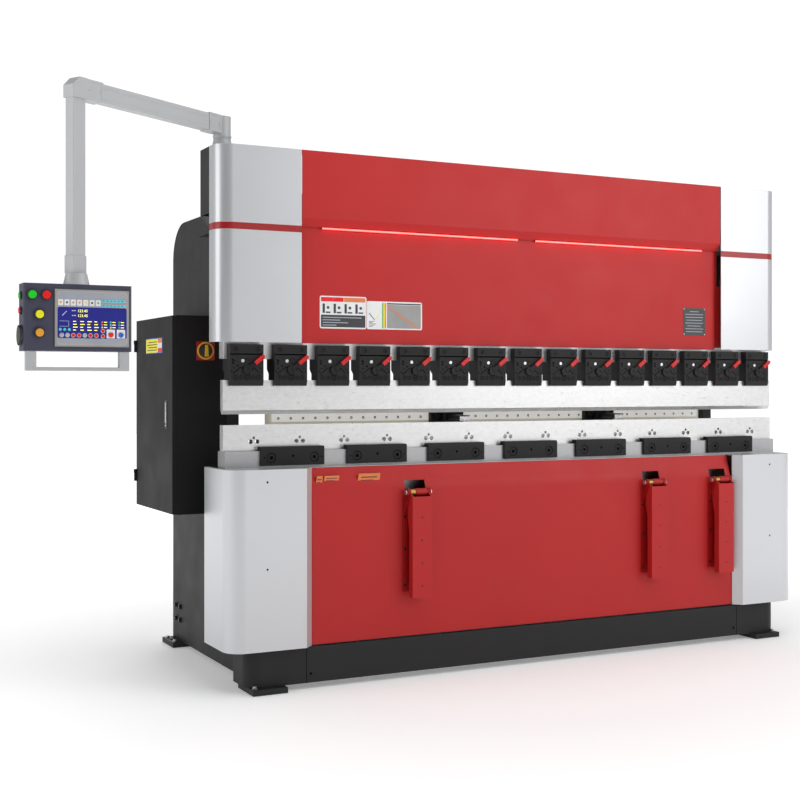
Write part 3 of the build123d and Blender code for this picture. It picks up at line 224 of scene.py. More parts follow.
def fit(piece, name, body, finish=None):
    """Name the piece, finish it and hang it on its body."""
    if finish is not None:
        paint(piece, finish)
    piece.name = name
    piece.data.name = name
    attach(piece, body)
    return piece


def merged(node):
    """A copy of a made part with its loose triangles merged into clean faces."""
    only(frame["nodes"][node])
    bpy.ops.object.duplicate()
    piece = bpy.context.object
    piece.parent = None
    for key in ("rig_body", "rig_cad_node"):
        del piece[key]
    piece.data.materials.clear()
    bpy.ops.object.mode_set(mode="EDIT")
    bpy.ops.mesh.select_all(action="SELECT")
    bpy.ops.mesh.remove_doubles(threshold=0.00001)
    bpy.ops.mesh.dissolve_limited(angle_limit=radians(0.5))
    done()
    return piece


def eased(node, width, finish, segments):
    """The made part with its real, broken edges, in place of the plain one."""
    body = frame["nodes"][node]["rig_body"]
    piece = ease(merged(node), width, segments)
    fit(piece, node + "_finished", body, finish)
    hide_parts(node)


def pivot(joint):
    return next(Vector(j["pos_m"]) for j in frame["joints"] if j["name"] == joint)


# ---------------------------------------------------------------- finishes

def shades(colour, factor):
    return (*[min(1.0, c * factor) for c in colour], 1.0)


def base_finish(name, metal, rough):
    finish = bpy.data.materials.new(name)
    finish.use_nodes = True
    shader = finish.node_tree.nodes["Principled BSDF"]
    shader.inputs["Metallic"].default_value = metal
    shader.inputs["Roughness"].default_value = rough
    coords = finish.node_tree.nodes.new("ShaderNodeTexCoord").outputs["Object"]
    return finish, finish.node_tree, shader, coords


def noise(tree, coords, scale, detail=3.0, stretch=None):
    texture = tree.nodes.new("ShaderNodeTexNoise")
    texture.inputs["Scale"].default_value = scale
    texture.inputs["Detail"].default_value = detail
    source = coords
    if stretch is not None:
        mapping = tree.nodes.new("ShaderNodeMapping")
        mapping.inputs["Scale"].default_value = stretch
        tree.links.new(coords, mapping.inputs["Vector"])
        source = mapping.outputs["Vector"]
    tree.links.new(source, texture.inputs["Vector"])
    return texture.outputs["Fac"]


def spread(tree, value, low, high, start=0.3, end=0.7):
    node = tree.nodes.new("ShaderNodeMapRange")
    node.inputs["From Min"].default_value = start
    node.inputs["From Max"].default_value = end
    node.inputs["To Min"].default_value = low
    node.inputs["To Max"].default_value = high
    tree.links.new(value, node.inputs["Value"])
    return node.outputs["Result"]


def blended(tree, amount, first, second):
    """Mix two colours; each is a colour or another node's output."""
    node = tree.nodes.new("ShaderNodeMix")
    node.data_type = "RGBA"
    tree.links.new(amount, node.inputs["Factor"])
    for socket, value in ((node.inputs[6], first), (node.inputs[7], second)):
        if isinstance(value, tuple):
            socket.default_value = value
        else:
            tree.links.new(value, socket)
    return node.outputs[2]


def edge_rub(tree, coords, radius, amount):
    """How far a spot is rubbed: most at edges, broken up by fine noise."""
    rounded = tree.nodes.new("ShaderNodeBevel")
    rounded.samples = 4
    rounded.inputs["Radius"].default_value = radius
    surface = tree.nodes.new("ShaderNodeNewGeometry")
    dot = tree.nodes.new("ShaderNodeVectorMath")
    dot.operation = "DOT_PRODUCT"
    tree.links.new(rounded.outputs["Normal"], dot.inputs[0])
    tree.links.new(surface.outputs["Normal"], dot.inputs[1])
    edge = spread(tree, dot.outputs["Value"], amount, 0.0, 0.8, 0.99)
    broken = spread(tree, noise(tree, coords, 90.0), 0.2, 1.0)
    product = tree.nodes.new("ShaderNodeMath")
    product.operation = "MULTIPLY"
    tree.links.new(edge, product.inputs[0])
    tree.links.new(broken, product.inputs[1])
    return product.outputs["Value"]


def bumps(tree, shader, height, strength, distance):
    bump = tree.nodes.new("ShaderNodeBump")
    bump.inputs["Strength"].default_value = strength
    bump.inputs["Distance"].default_value = distance
    tree.links.new(height, bump.inputs["Height"])
    tree.links.new(bump.outputs["Normal"], shader.inputs["Normal"])


def paint_coat(name, colour, rough, metal=0.0, peel=350.0, peel_depth=0.05, rub=0.35, drift=0.05, shine=0.5,
               smear=0.05):
    """Sprayed or powder paint: slow drift of tone, rubbed edges, orange peel."""
    finish, tree, shader, coords = base_finish(name, metal, rough)
    slow = spread(tree, noise(tree, coords, 1.6, 4.0), 0.0, 1.0)
    body = blended(tree, slow, shades(colour, 1 - drift), shades(colour, 1 + drift))
    fine = spread(tree, noise(tree, coords, 900.0, 1.0), 0.0, 0.5)
    body = blended(tree, fine, body, shades(colour, 1 + 2 * drift))
    pale = tuple(0.6 * c + 0.25 for c in colour)
    body = blended(tree, edge_rub(tree, coords, 0.002, rub), body, shades(pale, 1.0))
    tree.links.new(body, shader.inputs["Base Color"])
    sheen = spread(tree, noise(tree, coords, 6.0), rough - smear, rough + smear)
    tree.links.new(sheen, shader.inputs["Roughness"])
    bumps(tree, shader, noise(tree, coords, peel, 2.0), peel_depth, 0.0006)
    shader.inputs["Specular IOR Level"].default_value = shine
    return finish


def bare_metal(name, colour, rough, stretch, speckle=0.1, scale=40.0, metal=0.9, glow=0.0):
    """Ground or brushed metal: fine drawn lines one way, specks and light smears; glow, when set, is painted
    light that lifts a part lying in shade.
    """
    finish, tree, shader, coords = base_finish(name, metal, rough)
    lines = spread(tree, noise(tree, coords, scale, 6.0, stretch), 0.0, 1.0)
    specks = spread(tree, noise(tree, coords, 260.0, 2.0), 0.0, 1.0, 0.35, 0.65)
    smears = spread(tree, noise(tree, coords, 3.0, 4.0), 0.0, 1.0)
    body = blended(tree, lines, shades(colour, 0.94), shades(colour, 1.04))
    body = blended(tree, spread(tree, specks, 0.0, speckle, 0.0, 1.0), body, shades(colour, 0.45))
    body = blended(tree, spread(tree, smears, 0.0, 0.12, 0.0, 1.0), body, shades(colour, 0.8))
    body = blended(tree, edge_rub(tree, coords, 0.0015, 0.5), body, shades(colour, 1.25))
    tree.links.new(body, shader.inputs["Base Color"])
    tree.links.new(spread(tree, lines, rough - 0.05, rough + 0.08, 0.0, 1.0), shader.inputs["Roughness"])
    # Painted light: glow lends the metal a faint emission in its own colour.
    shader.inputs["Emission Color"].default_value = shades(colour, 1.0)
    shader.inputs["Emission Strength"].default_value = glow
    bumps(tree, shader, lines, 0.08, 0.0004)
    return finish


def moulded(name, colour, rough=0.28, grain=0.03):
    """Moulded plastic: even tone, faint grain, worn rim."""
    finish, tree, shader, coords = base_finish(name, 0.0, rough)
    slow = spread(tree, noise(tree, coords, 14.0), 0.0, 1.0)
    body = blended(tree, slow, shades(colour, 0.94), shades(colour, 1.06))
    pale = tuple(0.75 * c + 0.12 for c in colour)
    body = blended(tree, edge_rub(tree, coords, 0.001, 0.35), body, shades(pale, 1.0))
    tree.links.new(body, shader.inputs["Base Color"])
    sheen = spread(tree, noise(tree, coords, 40.0), rough - 0.04, rough + 0.08)
    tree.links.new(sheen, shader.inputs["Roughness"])
    bumps(tree, shader, noise(tree, coords, 1400.0, 1.0), grain, 0.0003)
    return finish


def lit(name, colour, strength):
    """A lit strip or a display: glow that varies a little along its length."""
    finish, tree, shader, coords = base_finish(name, 0.0, 0.3)
    glow = spread(tree, noise(tree, coords, 25.0), 0.0, 1.0)
    body = blended(tree, glow, shades(colour, 0.9), shades(colour, 1.1))
    tree.links.new(body, shader.inputs["Base Color"])
    tree.links.new(body, shader.inputs["Emission Color"])
    shader.inputs["Emission Strength"].default_value = strength
    bumps(tree, shader, noise(tree, coords, 500.0), 0.05, 0.0004)
    return finish


SILVER = paint_coat("silver cover paint", (0.59, 0.6, 0.62), 0.31, metal=0.55, peel=500.0, peel_depth=0.01,
                    rub=0.12, drift=0.012, smear=0.012)
RED = paint_coat("red panel paint", (0.46, 0.018, 0.018), 0.42, peel=420.0, rub=0.22, drift=0.05, shine=0.25)
RED_DEEP = paint_coat("deep red bracket paint", (0.3, 0.003, 0.003), 0.4, peel=420.0, rub=0.22, shine=0.25)
RED_ACCENT = paint_coat("red accent band", (0.33, 0.01, 0.012), 0.3, peel=420.0, rub=0.25)
BLACK = paint_coat("black powder coat", (0.022, 0.022, 0.023), 0.52, peel=260.0, peel_depth=0.12, rub=0.15,
                   shine=0.22)
CABINET_BLACK = paint_coat("cabinet textured black", (0.012, 0.012, 0.013), 0.55, peel=380.0, peel_depth=0.2,
                           rub=0.12, shine=0.18)
CLAMP_BLACK = paint_coat("black oxide steel", (0.017, 0.016, 0.016), 0.45, peel=300.0, rub=0.35, shine=0.18)
SCREW_BLACK = paint_coat("blackened screws", (0.005, 0.005, 0.006), 0.35, peel=300.0, rub=0.4, shine=0.25)
# Painted shade: near black laid in sockets, recess floors, holes and gaps, where shade falls.
PAINTED_SHADE = paint_coat("painted recess shade", (0.002, 0.002, 0.002), 0.8, peel=200.0, rub=0.0, shine=0.05)
TABLE_STEEL = bare_metal("milled table steel", (0.42, 0.42, 0.43), 0.42, (1.0, 1.0, 8.0), 0.25)
RAM_STEEL = bare_metal("machined ram edge", (0.6, 0.6, 0.61), 0.4, (1.0, 1.0, 6.0), 0.15)
TOOL_STEEL = bare_metal("ground tool steel", (0.68, 0.68, 0.68), 0.32, (1.5, 3.0, 3.0), 0.14, scale=24.0)
CHROME = bare_metal("polished rod", (0.62, 0.62, 0.64), 0.12, (6.0, 6.0, 1.0), 0.03)
BRIGHT = bare_metal("bright zinc", (0.62, 0.62, 0.63), 0.28, (2.0, 2.0, 2.0), 0.08)
BRASS = bare_metal("brass bush", (0.46, 0.3, 0.08), 0.34, (3.0, 3.0, 3.0), 0.08)
# The gauge beam and its pale band glow a little: painted light, as the beam lies in shade behind the tools.
BEAM_ALU_PAINTED_GLOW = bare_metal("anodised gauge beam, painted glow", (0.72, 0.7, 0.56), 0.4, (0.5, 8.0, 8.0), 0.08, metal=0.1,
                      glow=0.22)
RAIL_WHITE_PAINTED_GLOW = bare_metal("pale beam band, painted glow", (0.88, 0.88, 0.84), 0.38, (0.5, 8.0, 8.0), 0.05, metal=0.0,
                        glow=0.42)
ARM_GREY = paint_coat("arm grey powder coat", (0.43, 0.44, 0.45), 0.42, metal=0.15, peel=420.0, rub=0.25,
                      drift=0.03)
CONSOLE_BLUE = paint_coat("console blue grey", (0.055, 0.055, 0.088), 0.5, peel=420.0, peel_depth=0.15,
                          rub=0.25, shine=0.25)
PANEL_GREY = moulded("keypad grey film", (0.34, 0.36, 0.42), 0.35)
LEVER_RED = moulded("lever red plastic", (0.55, 0.002, 0.002), 0.25)
RUBBER = moulded("black plastic", (0.018, 0.018, 0.02), 0.45, 0.08)
GREEN_CAP = moulded("green button cap", (0.002, 0.62, 0.01), 0.25)
RED_CAP = moulded("red button cap", (0.8, 0.003, 0.003), 0.25)
YELLOW_CAP = moulded("yellow button cap", (0.85, 0.82, 0.01), 0.25)
AMBER_CAP = moulded("amber button cap", (0.78, 0.33, 0.03), 0.22)
SWITCH_YELLOW = moulded("switch yellow plate", (0.8, 0.42, 0.02), 0.35)
WHITE_FILM = moulded("white printed film", (0.78, 0.79, 0.8), 0.35)
DARK_FILM = moulded("dark printed film", (0.03, 0.032, 0.034), 0.35)
ORANGE_FILM = moulded("orange printed film", (0.72, 0.2, 0.05), 0.4)
YELLOW_FILM = moulded("yellow printed film", (0.88, 0.78, 0.01), 0.4)
GREEN_FILM = moulded("green printed film", (0.12, 0.42, 0.08), 0.4)
BLUE_KEY = moulded("blue key cap", (0.02, 0.12, 0.62), 0.25)
CYAN_FILM = moulded("cyan printed film", (0.1, 0.62, 0.7), 0.35)
SCREEN = lit("display glass", (0.004, 0.006, 0.17), 0.35)
BEZEL_GREY = moulded("display frame grey", (0.3, 0.3, 0.29), 0.35)
RIM_BEIGE = moulded("display rim beige", (0.42, 0.4, 0.34), 0.35)
DIGITS = lit("display digits", (0.95, 0.85, 0.1), 1.2)
LED_RED = lit("red light strip", (1.0, 0.05, 0.045), 8.0)
CYL_PAINT = paint_coat("cylinder grey paint", (0.085, 0.088, 0.095), 0.42, peel=300.0, rub=0.3)
TANK_PAINT = paint_coat("tank grey paint", (0.06, 0.062, 0.066), 0.45, peel=300.0, rub=0.3)
MOTOR_PAINT = paint_coat("motor blue grey paint", (0.07, 0.09, 0.115), 0.42, peel=260.0, rub=0.3)


# ---------------------------------------------------------------- made parts with broken edges

def split_level(piece, z):
    """Score a level line round the piece, so what is below it can have its own finish."""
    pick(piece, "FACE", lambda c, n: True)
    bpy.ops.mesh.bisect(plane_co=(0, 0, z), plane_no=(0, 0, 1))
    done()
    return piece


MADE_PARTS = (
    ("side_frame_left side_frame_right cross_members cylinder_shelves ram_guides anchor_feet base_plinth "
     "cylinder_hoods backgauge_guides", 0.0012, BLACK, "frame_steel", 2),
    ("support_brackets", 0.0012, RED_DEEP, "panel_red", 2),
    ("lower_cover_left lower_cover_right upper_cover_left upper_cover_right",
     0.0012, SILVER, "cover_silver", 2),
    ("upper_front_panel lower_front_panel ram_front_panel support_arm_1 support_arm_2 support_arm_3",
     0.0012, RED, "panel_red", 2),
    ("table_beam", 0.0012, TABLE_STEEL, "machined_steel", 2),
    ("ram_beam", 0.0015, RED, "panel_red", 2),
    ("die_rail punch", 0.0008, TOOL_STEEL, "machined_steel", 2),
    ("piston_rods", 0.001, CHROME, "rod_chrome", 2),
    ("cylinder_barrels", 0.002, CYL_PAINT, "cylinder_paint", 2),
    ("console_post", 0.0015, ARM_GREY, "console_arm_grey", 2),
    ("console_arm", 0.004, ARM_GREY, "console_arm_grey", 3),
    ("console_handle", 0.0025, ARM_GREY, "console_arm_grey", 3),
    ("console_box", 0.0015, CONSOLE_BLUE, "console_blue_grey", 2),
    ("electrical_cabinet", 0.0015, CABINET_BLACK, "frame_steel", 2),
    ("cabinet_door", 0.002, CABINET_BLACK, "frame_steel", 2),
    # The gauge beam carries a painted glow.
    ("backgauge_beam", 0.001, BEAM_ALU_PAINTED_GLOW, "gauge_beam_steel", 2),
    ("gauge_finger_left gauge_finger_right", 0.002, CLAMP_BLACK, "clamp_black", 2),
    ("hydraulic_power_pack", 0.002, TANK_PAINT, "cylinder_paint", 2),
    ("start_button", 0.0015, GREEN_CAP, "button_green", 3),
    ("stop_button", 0.0015, RED_CAP, "lever_red", 3),
    ("pump_button", 0.0015, YELLOW_CAP, "button_yellow", 3),
    ("mode_button", 0.0015, AMBER_CAP, "button_amber", 3),
    ("side_start_button", 0.0015, GREEN_CAP, "button_green", 3),
    ("side_stop_button", 0.0015, RED_CAP, "lever_red", 3))


def lid_top():
    """Level of the upper edge of the console's lid."""
    lo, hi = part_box("start_button")
    return (lo.z + hi.z) / 2 + 0.0455


def finish_made_parts():
    """Eased and finished copies of the made parts; the ram and the console box have several finishes."""
    for nodes, width, finish, slot, segments in MADE_PARTS:
        for node in nodes.split():
            eased(node, width, finish, segments)
    ram = bpy.data.objects["ram_beam_finished"]
    bare_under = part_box("ram_front_panel")[0].z + 0.01
    split_level(ram, bare_under)
    paint(ram, RAM_STEEL, lambda c, n: c.z < bare_under)
    box = bpy.data.objects["console_box_finished"]
    lo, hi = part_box("console_box")
    above_lid = lid_top() + 0.001
    paint(box, BEZEL_GREY, lambda c, n: c.y < lo.y + 0.0115 and c.x > hi.x - 0.3085)
    paint(box, ARM_GREY, lambda c, n: c.z > above_lid)
    paint(box, RUBBER, lambda c, n: c.x < lo.x + 0.0118)


# ---------------------------------------------------------------- tool clamps

def hole(x, front, z, radius, depth, sides=24):
    return bar((x, front, z), radius, 2 * depth, "Y", sides)


def groove(x0, z0, x1, z1, front, width, depth):
    """A straight cutter on a clamp's face from one point to another."""
    run = Vector((x1 - x0, 0, z1 - z0))
    tool = block((-run.length / 2, -depth, -width / 2), (run.length / 2, depth, width / 2))
    angle = Vector((1, 0)).angle_signed(Vector((run.x, run.z)))
    return turned(tool, angle, ((x0 + x1) / 2, front, (z0 + z1) / 2))


def socket_screw(x, front, z, radius, height, finish=None):
    """A cap screw seen from the front; its hexagon socket is painted with near-black shade."""
    head = bar((x, front + height / 2, z), radius, height, "Y", 28)
    head = cut(head, bar((x, front, z), radius * 0.48, height, "Y", 6))
    paint(head, finish or SCREW_BLACK)
    # Painted shade on the floor and walls of the socket.
    socket = (radius * 0.47) ** 2
    paint(head, PAINTED_SHADE, lambda c, n: (c.x - x) ** 2 + (c.z - z) ** 2 < socket and c.y > front + 0.0001)
    return ease(head, min(radius, height) * 0.12)


def tool_clamp_row():
    lo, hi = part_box("tool_clamps")
    levers = [n for n in frame["nodes"] if n.startswith("clamp_lever_")]
    first = pivot("clamp_lever_01_turn")
    pitch = (pivot(f"clamp_lever_{len(levers):02d}_turn").x - first.x) / (len(levers) - 1)
    x, front, z = first.x, lo.y, hi.z
    clamp = without(merged("tool_clamps"), lambda c, n: c.x > x + pitch / 2)
    line, recess, drilled, seam = 0.0035, 0.0028, 0.0046, 0.004
    bolt_z, top_z, top_x, stud_z = lo.z + 0.038, z - 0.022, (-0.053, 0.053), z - 0.074
    bolts = ((-0.0555, 0.0115), (-0.03, 0.0105), (0.0, 0.014), (0.028, 0.0105), (0.054, 0.0115))
    tools = [hole(x + dx, front, bolt_z, r, recess) for dx, r in bolts]
    tools += [hole(x + dx, front, top_z, 0.0105, recess) for dx in top_x]
    tools += [hole(x + dx, front, z + dz, r, drilled, 16) for dx, dz, r in
              ((-0.0425, -0.096, 0.0048), (-0.062, -0.107, 0.0036), (-0.073, -0.122, 0.0042),
               (0.026, -0.113, 0.004), (0.064, -0.108, 0.0036), (0.072, -0.123, 0.0042),
               (0.012, -0.134, 0.0046), (-0.019, -0.074, 0.0095), (0.008, -0.074, 0.013))]
    tools += [groove(x + x0, z + z0, x + x1, z + z1, front, width, line) for x0, z0, x1, z1, width in
              ((-0.069, -0.135, -0.031, -0.104, 0.0046), (-0.031, -0.1035, -0.016, -0.1035, 0.004),
               (0.031, -0.104, 0.062, -0.13, 0.0046), (-0.071, -0.067, -0.058, -0.077, 0.007),
               (-0.071, -0.08, -0.06, -0.088, 0.0065))]
    for tool in tools:
        clamp = cut(clamp, tool)
    clamp = paint(clamp, CLAMP_BLACK)
    # Painted shade: the floors of the grooves, recesses, drilled holes and the seam under the upper bar are
    # laid in near black.
    shaded_floors = (line, recess, drilled, seam)
    paint(clamp, PAINTED_SHADE, lambda c, n: n.y < -0.9 and any(abs(c.y - front - d) < 0.0001 for d in shaded_floors))
    parts = [ease(clamp, 0.0009)]
    parts += [socket_screw(x + dx, front + 0.0004, top_z, 0.0072, 0.003, CLAMP_BLACK) for dx in top_x]
    parts += [socket_screw(x + dx, front + 0.0004, bolt_z, r * 0.66, 0.0028, CLAMP_BLACK) for dx, r in bolts]
    parts.append(coated(bar((x - 0.019, front + 0.0022, stud_z), 0.0078, 0.003, "Y", 24), 0.0006, BRIGHT))
    ring = bar((x + 0.008, front + 0.001, stud_z), 0.0105, 0.004, "Y", 28)
    ring = cut(ring, bar((x + 0.008, front - 0.001, stud_z), 0.006, 0.004, "Y", 24))
    parts.append(coated(ring, 0.0006, SCREW_BLACK))
    one = joined(parts)
    row = row_of(one, [(pitch * i, 0, 0) for i in range(1, len(levers))])
    fit(row, "tool_clamps_detailed", "ram")
    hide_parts("tool_clamps")


def clamp_levers():
    """Hub, tapered arm and red sleeve, made once and carried to every clamp."""
    levers = sorted(n for n in frame["nodes"] if n.startswith("clamp_lever_"))
    first = pivot("clamp_lever_01_turn")
    depth = first.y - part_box(levers[0])[0].y
    hub = bar((0, -0.0045, 0), 0.0195, 0.008, "Y", 40)
    hub = pocket(hub, lambda c, n: n.y < -0.9, 0.004, 0.0018)
    hub = cut(hub, bar((0, -0.009, 0), 0.006, 0.008, "Y", 6))
    hub = coated(hub, 0.0008, SCREW_BLACK)
    arm = block((0.006, -0.0095, -0.0065), (0.056, -0.0024, 0.0065))
    pick(arm, "FACE", lambda c, n: n.x < -0.9)
    bpy.ops.transform.resize(value=(1, 1, 1.9))
    done()
    arm = coated(arm, 0.0018, SCREW_BLACK, 3)
    sleeve = block((0.046, -depth, -0.0094), (0.092, -0.0024, 0.0094))
    rounded(sleeve, 0.0085, 6, lambda c, d: abs(d.y) > 0.9 and c.x > 0.09)
    pick(sleeve, "FACE", lambda c, n: n.y < -0.9)
    bpy.ops.mesh.inset(thickness=0.0035)
    bpy.ops.mesh.inset(thickness=0.001, depth=-0.001)
    done()
    pick(sleeve, "FACE", lambda c, n: n.x > 0.3)
    bpy.ops.transform.translate(value=(0.01, 0, 0))
    done()
    sleeve = coated(sleeve, 0.0016, LEVER_RED, 3)
    one = joined([hub, arm, sleeve])
    one = turned(one, -radians(38.7), first)
    for name in levers:
        move = pivot(name + "_turn") - first
        if name != levers[-1]:
            piece = copy_of(one, move)
        else:
            only(one)
            bpy.ops.transform.translate(value=move)
            piece = settle(one)
        fit(piece, name + "_handle", name)
        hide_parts(name)


DIE_BARS = 7
DIE_BAR_WIDTH = 0.31


def die_bar_pitch():
    lo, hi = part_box("die_clamps")
    return (hi.x - lo.x - DIE_BAR_WIDTH) / (DIE_BARS - 1)


def die_clamp_row():
    """One bar with its two socket screws and small holes, and its twins along the table."""
    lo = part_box("die_clamps")[0]
    table_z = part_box("table_beam")[1].z
    pitch, x, screw_x = die_bar_pitch(), lo.x + DIE_BAR_WIDTH / 2, 0.105

    def near_screw(c, reach):
        return abs(abs(c.x - x) - screw_x) < reach

    piece = without(merged("die_clamps"), lambda c, n: c.x > x + pitch / 2 or
                    near_screw(c, 0.0192) and lo.y + 0.0012 < c.y < lo.y + 0.0079)
    for dx, z, radius, depth, sides in ((0.0, table_z - 0.024, 0.006, 0.006, 24),
                                        (-0.14, table_z - 0.03, 0.0035, 0.005, 16),
                                        (0.14, table_z - 0.03, 0.0035, 0.005, 16)):
        piece = cut(piece, hole(x + dx, lo.y, z, radius, depth, sides))
    piece = paint(piece, CLAMP_BLACK)
    # Painted shade on the recess floors and on the walls of the pockets round the two screws.
    paint(piece, PAINTED_SHADE, lambda c, n: c.y > lo.y + 0.001 and (
        n.y < -0.9 and c.y < lo.y + 0.01 or
        abs(n.y) < 0.1 and near_screw(c, 0.021) and c.y < lo.y + 0.012))
    piece = ease(piece, 0.0012)
    screws = [socket_screw(x + dx, lo.y + 0.0015, table_z - 0.031, 0.019, 0.0065) for dx in (-screw_x, screw_x)]
    row = row_of(joined([piece] + screws), [(pitch * i, 0, 0) for i in range(1, DIE_BARS)])
    fit(row, "die_clamps_detailed", "frame")
    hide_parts("die_clamps")


# ---------------------------------------------------------------- cover trim and light strips

def accent_band(side):
    """Painted band that fills the groove round one upper cover."""
    lo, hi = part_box(f"upper_cover_{side}")
    out = 1 if side == "right" else -1
    outer, inner = (hi.x, lo.x) if out > 0 else (lo.x, hi.x)
    z0, z1, proud = hi.z - 0.381, hi.z - 0.35, 0.0008
    x0, x1 = sorted((inner, outer - out * proud))
    band = block((x0, lo.y + proud, z0 + 0.0003), (x1, hi.y - 0.001, z1 - 0.0003))
    rounded(band, 0.0742, 14, lambda c, d: abs(d.z) > 0.9 and abs(c.x - outer) < 0.01 and c.y < lo.y + 0.01)
    without(band, lambda c, n: abs(n.z) > 0.9 or n.y > 0.9 or n.x * out < -0.9)
    modified(band, "SOLIDIFY", thickness=0.0016, offset=-1)
    ease(band, 0.0003)
    fit(band, f"accent_band_{side}", "frame", RED_ACCENT)


def light_strips():
    """Two lit strips under the fascia's lip, each in a thin dark tray."""
    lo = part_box("upper_front_panel")[0]
    for side, name in ((-1, "left"), (1, "right")):
        x0, x1 = sorted((side * 0.053, side * 1.117))
        tray = block((x0 - 0.004, lo.y + 0.0225, lo.z - 0.0058), (x1 + 0.004, lo.y + 0.0285, lo.z + 0.001))
        tray = coated(tray, 0.0006, RUBBER)
        strip = block((x0, lo.y + 0.0215, lo.z - 0.0068), (x1, lo.y + 0.0262, lo.z + 0.0004))
        strip = coated(strip, 0.0012, LED_RED, 3)
        fit(joined([tray, strip]), f"light_strip_{name}", "frame")


# ---------------------------------------------------------------- small parts

def film(x0, x1, z0, z1, front, finish, thick=0.0008):
    """A thin printed or anodised plate on a face that looks to the front."""
    plate = block((x0, front - thick, z0), (x1, front + 0.0003, z1))
    rounded(plate, min(x1 - x0, z1 - z0) * 0.06, 3, lambda c, d: abs(d.y) > 0.9)
    return coated(plate, thick * 0.3, finish, 1)


def hex_bolt(centre, radius, height, axis, finish):
    """Hexagon head on a washer; the head stands on the low side of the axis when height is negative."""
    step = Vector([height if a == axis else 0 for a in "XYZ"])
    washer = bar(Vector(centre) + step * 0.12, radius * 1.35, abs(height) * 0.24, axis, 24)
    head = bar(Vector(centre) + step * 0.62, radius, abs(height) * 0.76, axis, 6)
    return joined([coated(washer, 0.0005, finish), coated(head, abs(height) * 0.12, finish)])


def cover_screws():
    """Button-head screws that hold the corner covers."""
    for side, out in (("left", -1), ("right", 1)):
        lo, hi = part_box(f"lower_cover_{side}")
        x = out * (max(abs(lo.x), abs(hi.x)) - 0.18)
        heads = [socket_screw(x, lo.y + 0.0006, hi.z - dz, 0.0065, 0.004) for dz in (0.441, 0.056)]
        fit(joined(heads), f"cover_screws_{side}", "frame")


def info_plates():
    """Plain plates with colour bars, a bend chart and line patterns, on the moving panel."""
    lo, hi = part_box("ram_front_panel")
    face = lo.y
    x, z = lo.x + 0.09, lo.z + 0.07
    parts = [film(x, x + 0.24, z, z + 0.152, face, WHITE_FILM, 0.0012)]
    parts.append(film(x + 0.006, x + 0.121, z + 0.126, z + 0.146, face - 0.001, RED_CAP))
    parts.append(film(x + 0.123, x + 0.234, z + 0.126, z + 0.146, face - 0.001, ORANGE_FILM))
    parts.append(film(x + 0.006, x + 0.234, z + 0.007, z + 0.064, face - 0.001, DARK_FILM))
    for i, wide in enumerate((0.2, 0.09, 0.13, 0.07)):
        z0 = z + 0.05 - 0.012 * i
        parts.append(film(x + 0.014, x + 0.014 + wide, z0, z0 + 0.0045, face - 0.0015, PANEL_GREY, 0.0005))
    for i in range(4):
        x0 = x + 0.014 + 0.056 * i
        parts.append(film(x0, x0 + 0.012, z + 0.072, z + 0.116, face - 0.001, DARK_FILM, 0.0006))
        parts.append(film(x0 + 0.016, x0 + 0.04, z + 0.072, z + 0.079, face - 0.001, DARK_FILM, 0.0006))
        dot = bar((x0 + 0.028, face - 0.0012, z + 0.098), 0.007, 0.0008, "Y", 20)
        parts.append(coated(dot, 0.0002, DARK_FILM, 1))
    x, z = lo.x + 0.332, lo.z + 0.071
    parts.append(film(x, x + 0.295, z, z + 0.133, face, WHITE_FILM, 0.0012))
    for i, finish in enumerate((GREEN_FILM, YELLOW_FILM, ORANGE_FILM)):
        x0 = x + 0.08 + 0.007 * i
        parts.append(film(x0, x0 + 0.0065, z + 0.006, z + 0.126, face - 0.001, finish))
    parts.append(film(x + 0.106, x + 0.288, z + 0.006, z + 0.118, face - 0.001, BEZEL_GREY, 0.0003))
    for i in range(1, 12):
        x0 = x + 0.106 + 0.015 * i
        parts.append(film(x0, x0 + 0.0006, z + 0.007, z + 0.117, face - 0.0012, PANEL_GREY, 0.0002))
    parts.append(film(x + 0.106, x + 0.288, z + 0.12, z + 0.126, face - 0.001, CONSOLE_BLUE))
    points = ((0.106, 0.117), (0.134, 0.096), (0.162, 0.074), (0.188, 0.055), (0.206, 0.05), (0.232, 0.034),
              (0.262, 0.014), (0.286, 0.009))
    for (xa, za), (xb, zb) in zip(points, points[1:]):
        line = groove(x + xa, z + za, x + xb, z + zb, face - 0.0015, 0.006, 0.0004)
        parts.append(coated(line, 0.0001, ORANGE_FILM, 1))
    for xa, xb, finish in ((0.012, 0.04, CONSOLE_BLUE), (0.068, 0.04, YELLOW_FILM)):
        line = groove(x + xa, z + 0.076, x + xb, z + 0.044, face - 0.0012, 0.0035, 0.0004)
        parts.append(coated(line, 0.0001, finish, 1))
    for i in range(5):
        x1, z0 = x + 0.03 + 0.009 * (i % 3), z + 0.012 + 0.006 * i
        parts.append(film(x + 0.01, x1, z0, z0 + 0.0025, face - 0.001, DARK_FILM, 0.0003))
    fit(joined(parts), "bend_chart_plates", "ram")
    x, z = hi.x - 0.214, lo.z + 0.076
    parts = [film(x, x + 0.15, z, z + 0.147, face, DARK_FILM, 0.0012)]
    for i, wide in enumerate((0.06, 0.12, 0.12, 0.105, 0.12, 0.095, 0.12, 0.11)):
        mid, z0 = x + 0.075, z + 0.126 - 0.0155 * i
        parts.append(film(mid - wide / 2, mid + wide / 2, z0, z0 + 0.0035, face - 0.001, PANEL_GREY, 0.0004))
    for dx in (0.006, 0.144):
        for dz in (0.006, 0.141):
            rivet = bar((x + dx, face - 0.0015, z + dz), 0.0028, 0.0015, "Y", 16)
            parts.append(coated(rivet, 0.0004, BRIGHT))
    fit(joined(parts), "rating_plate_blank", "ram")


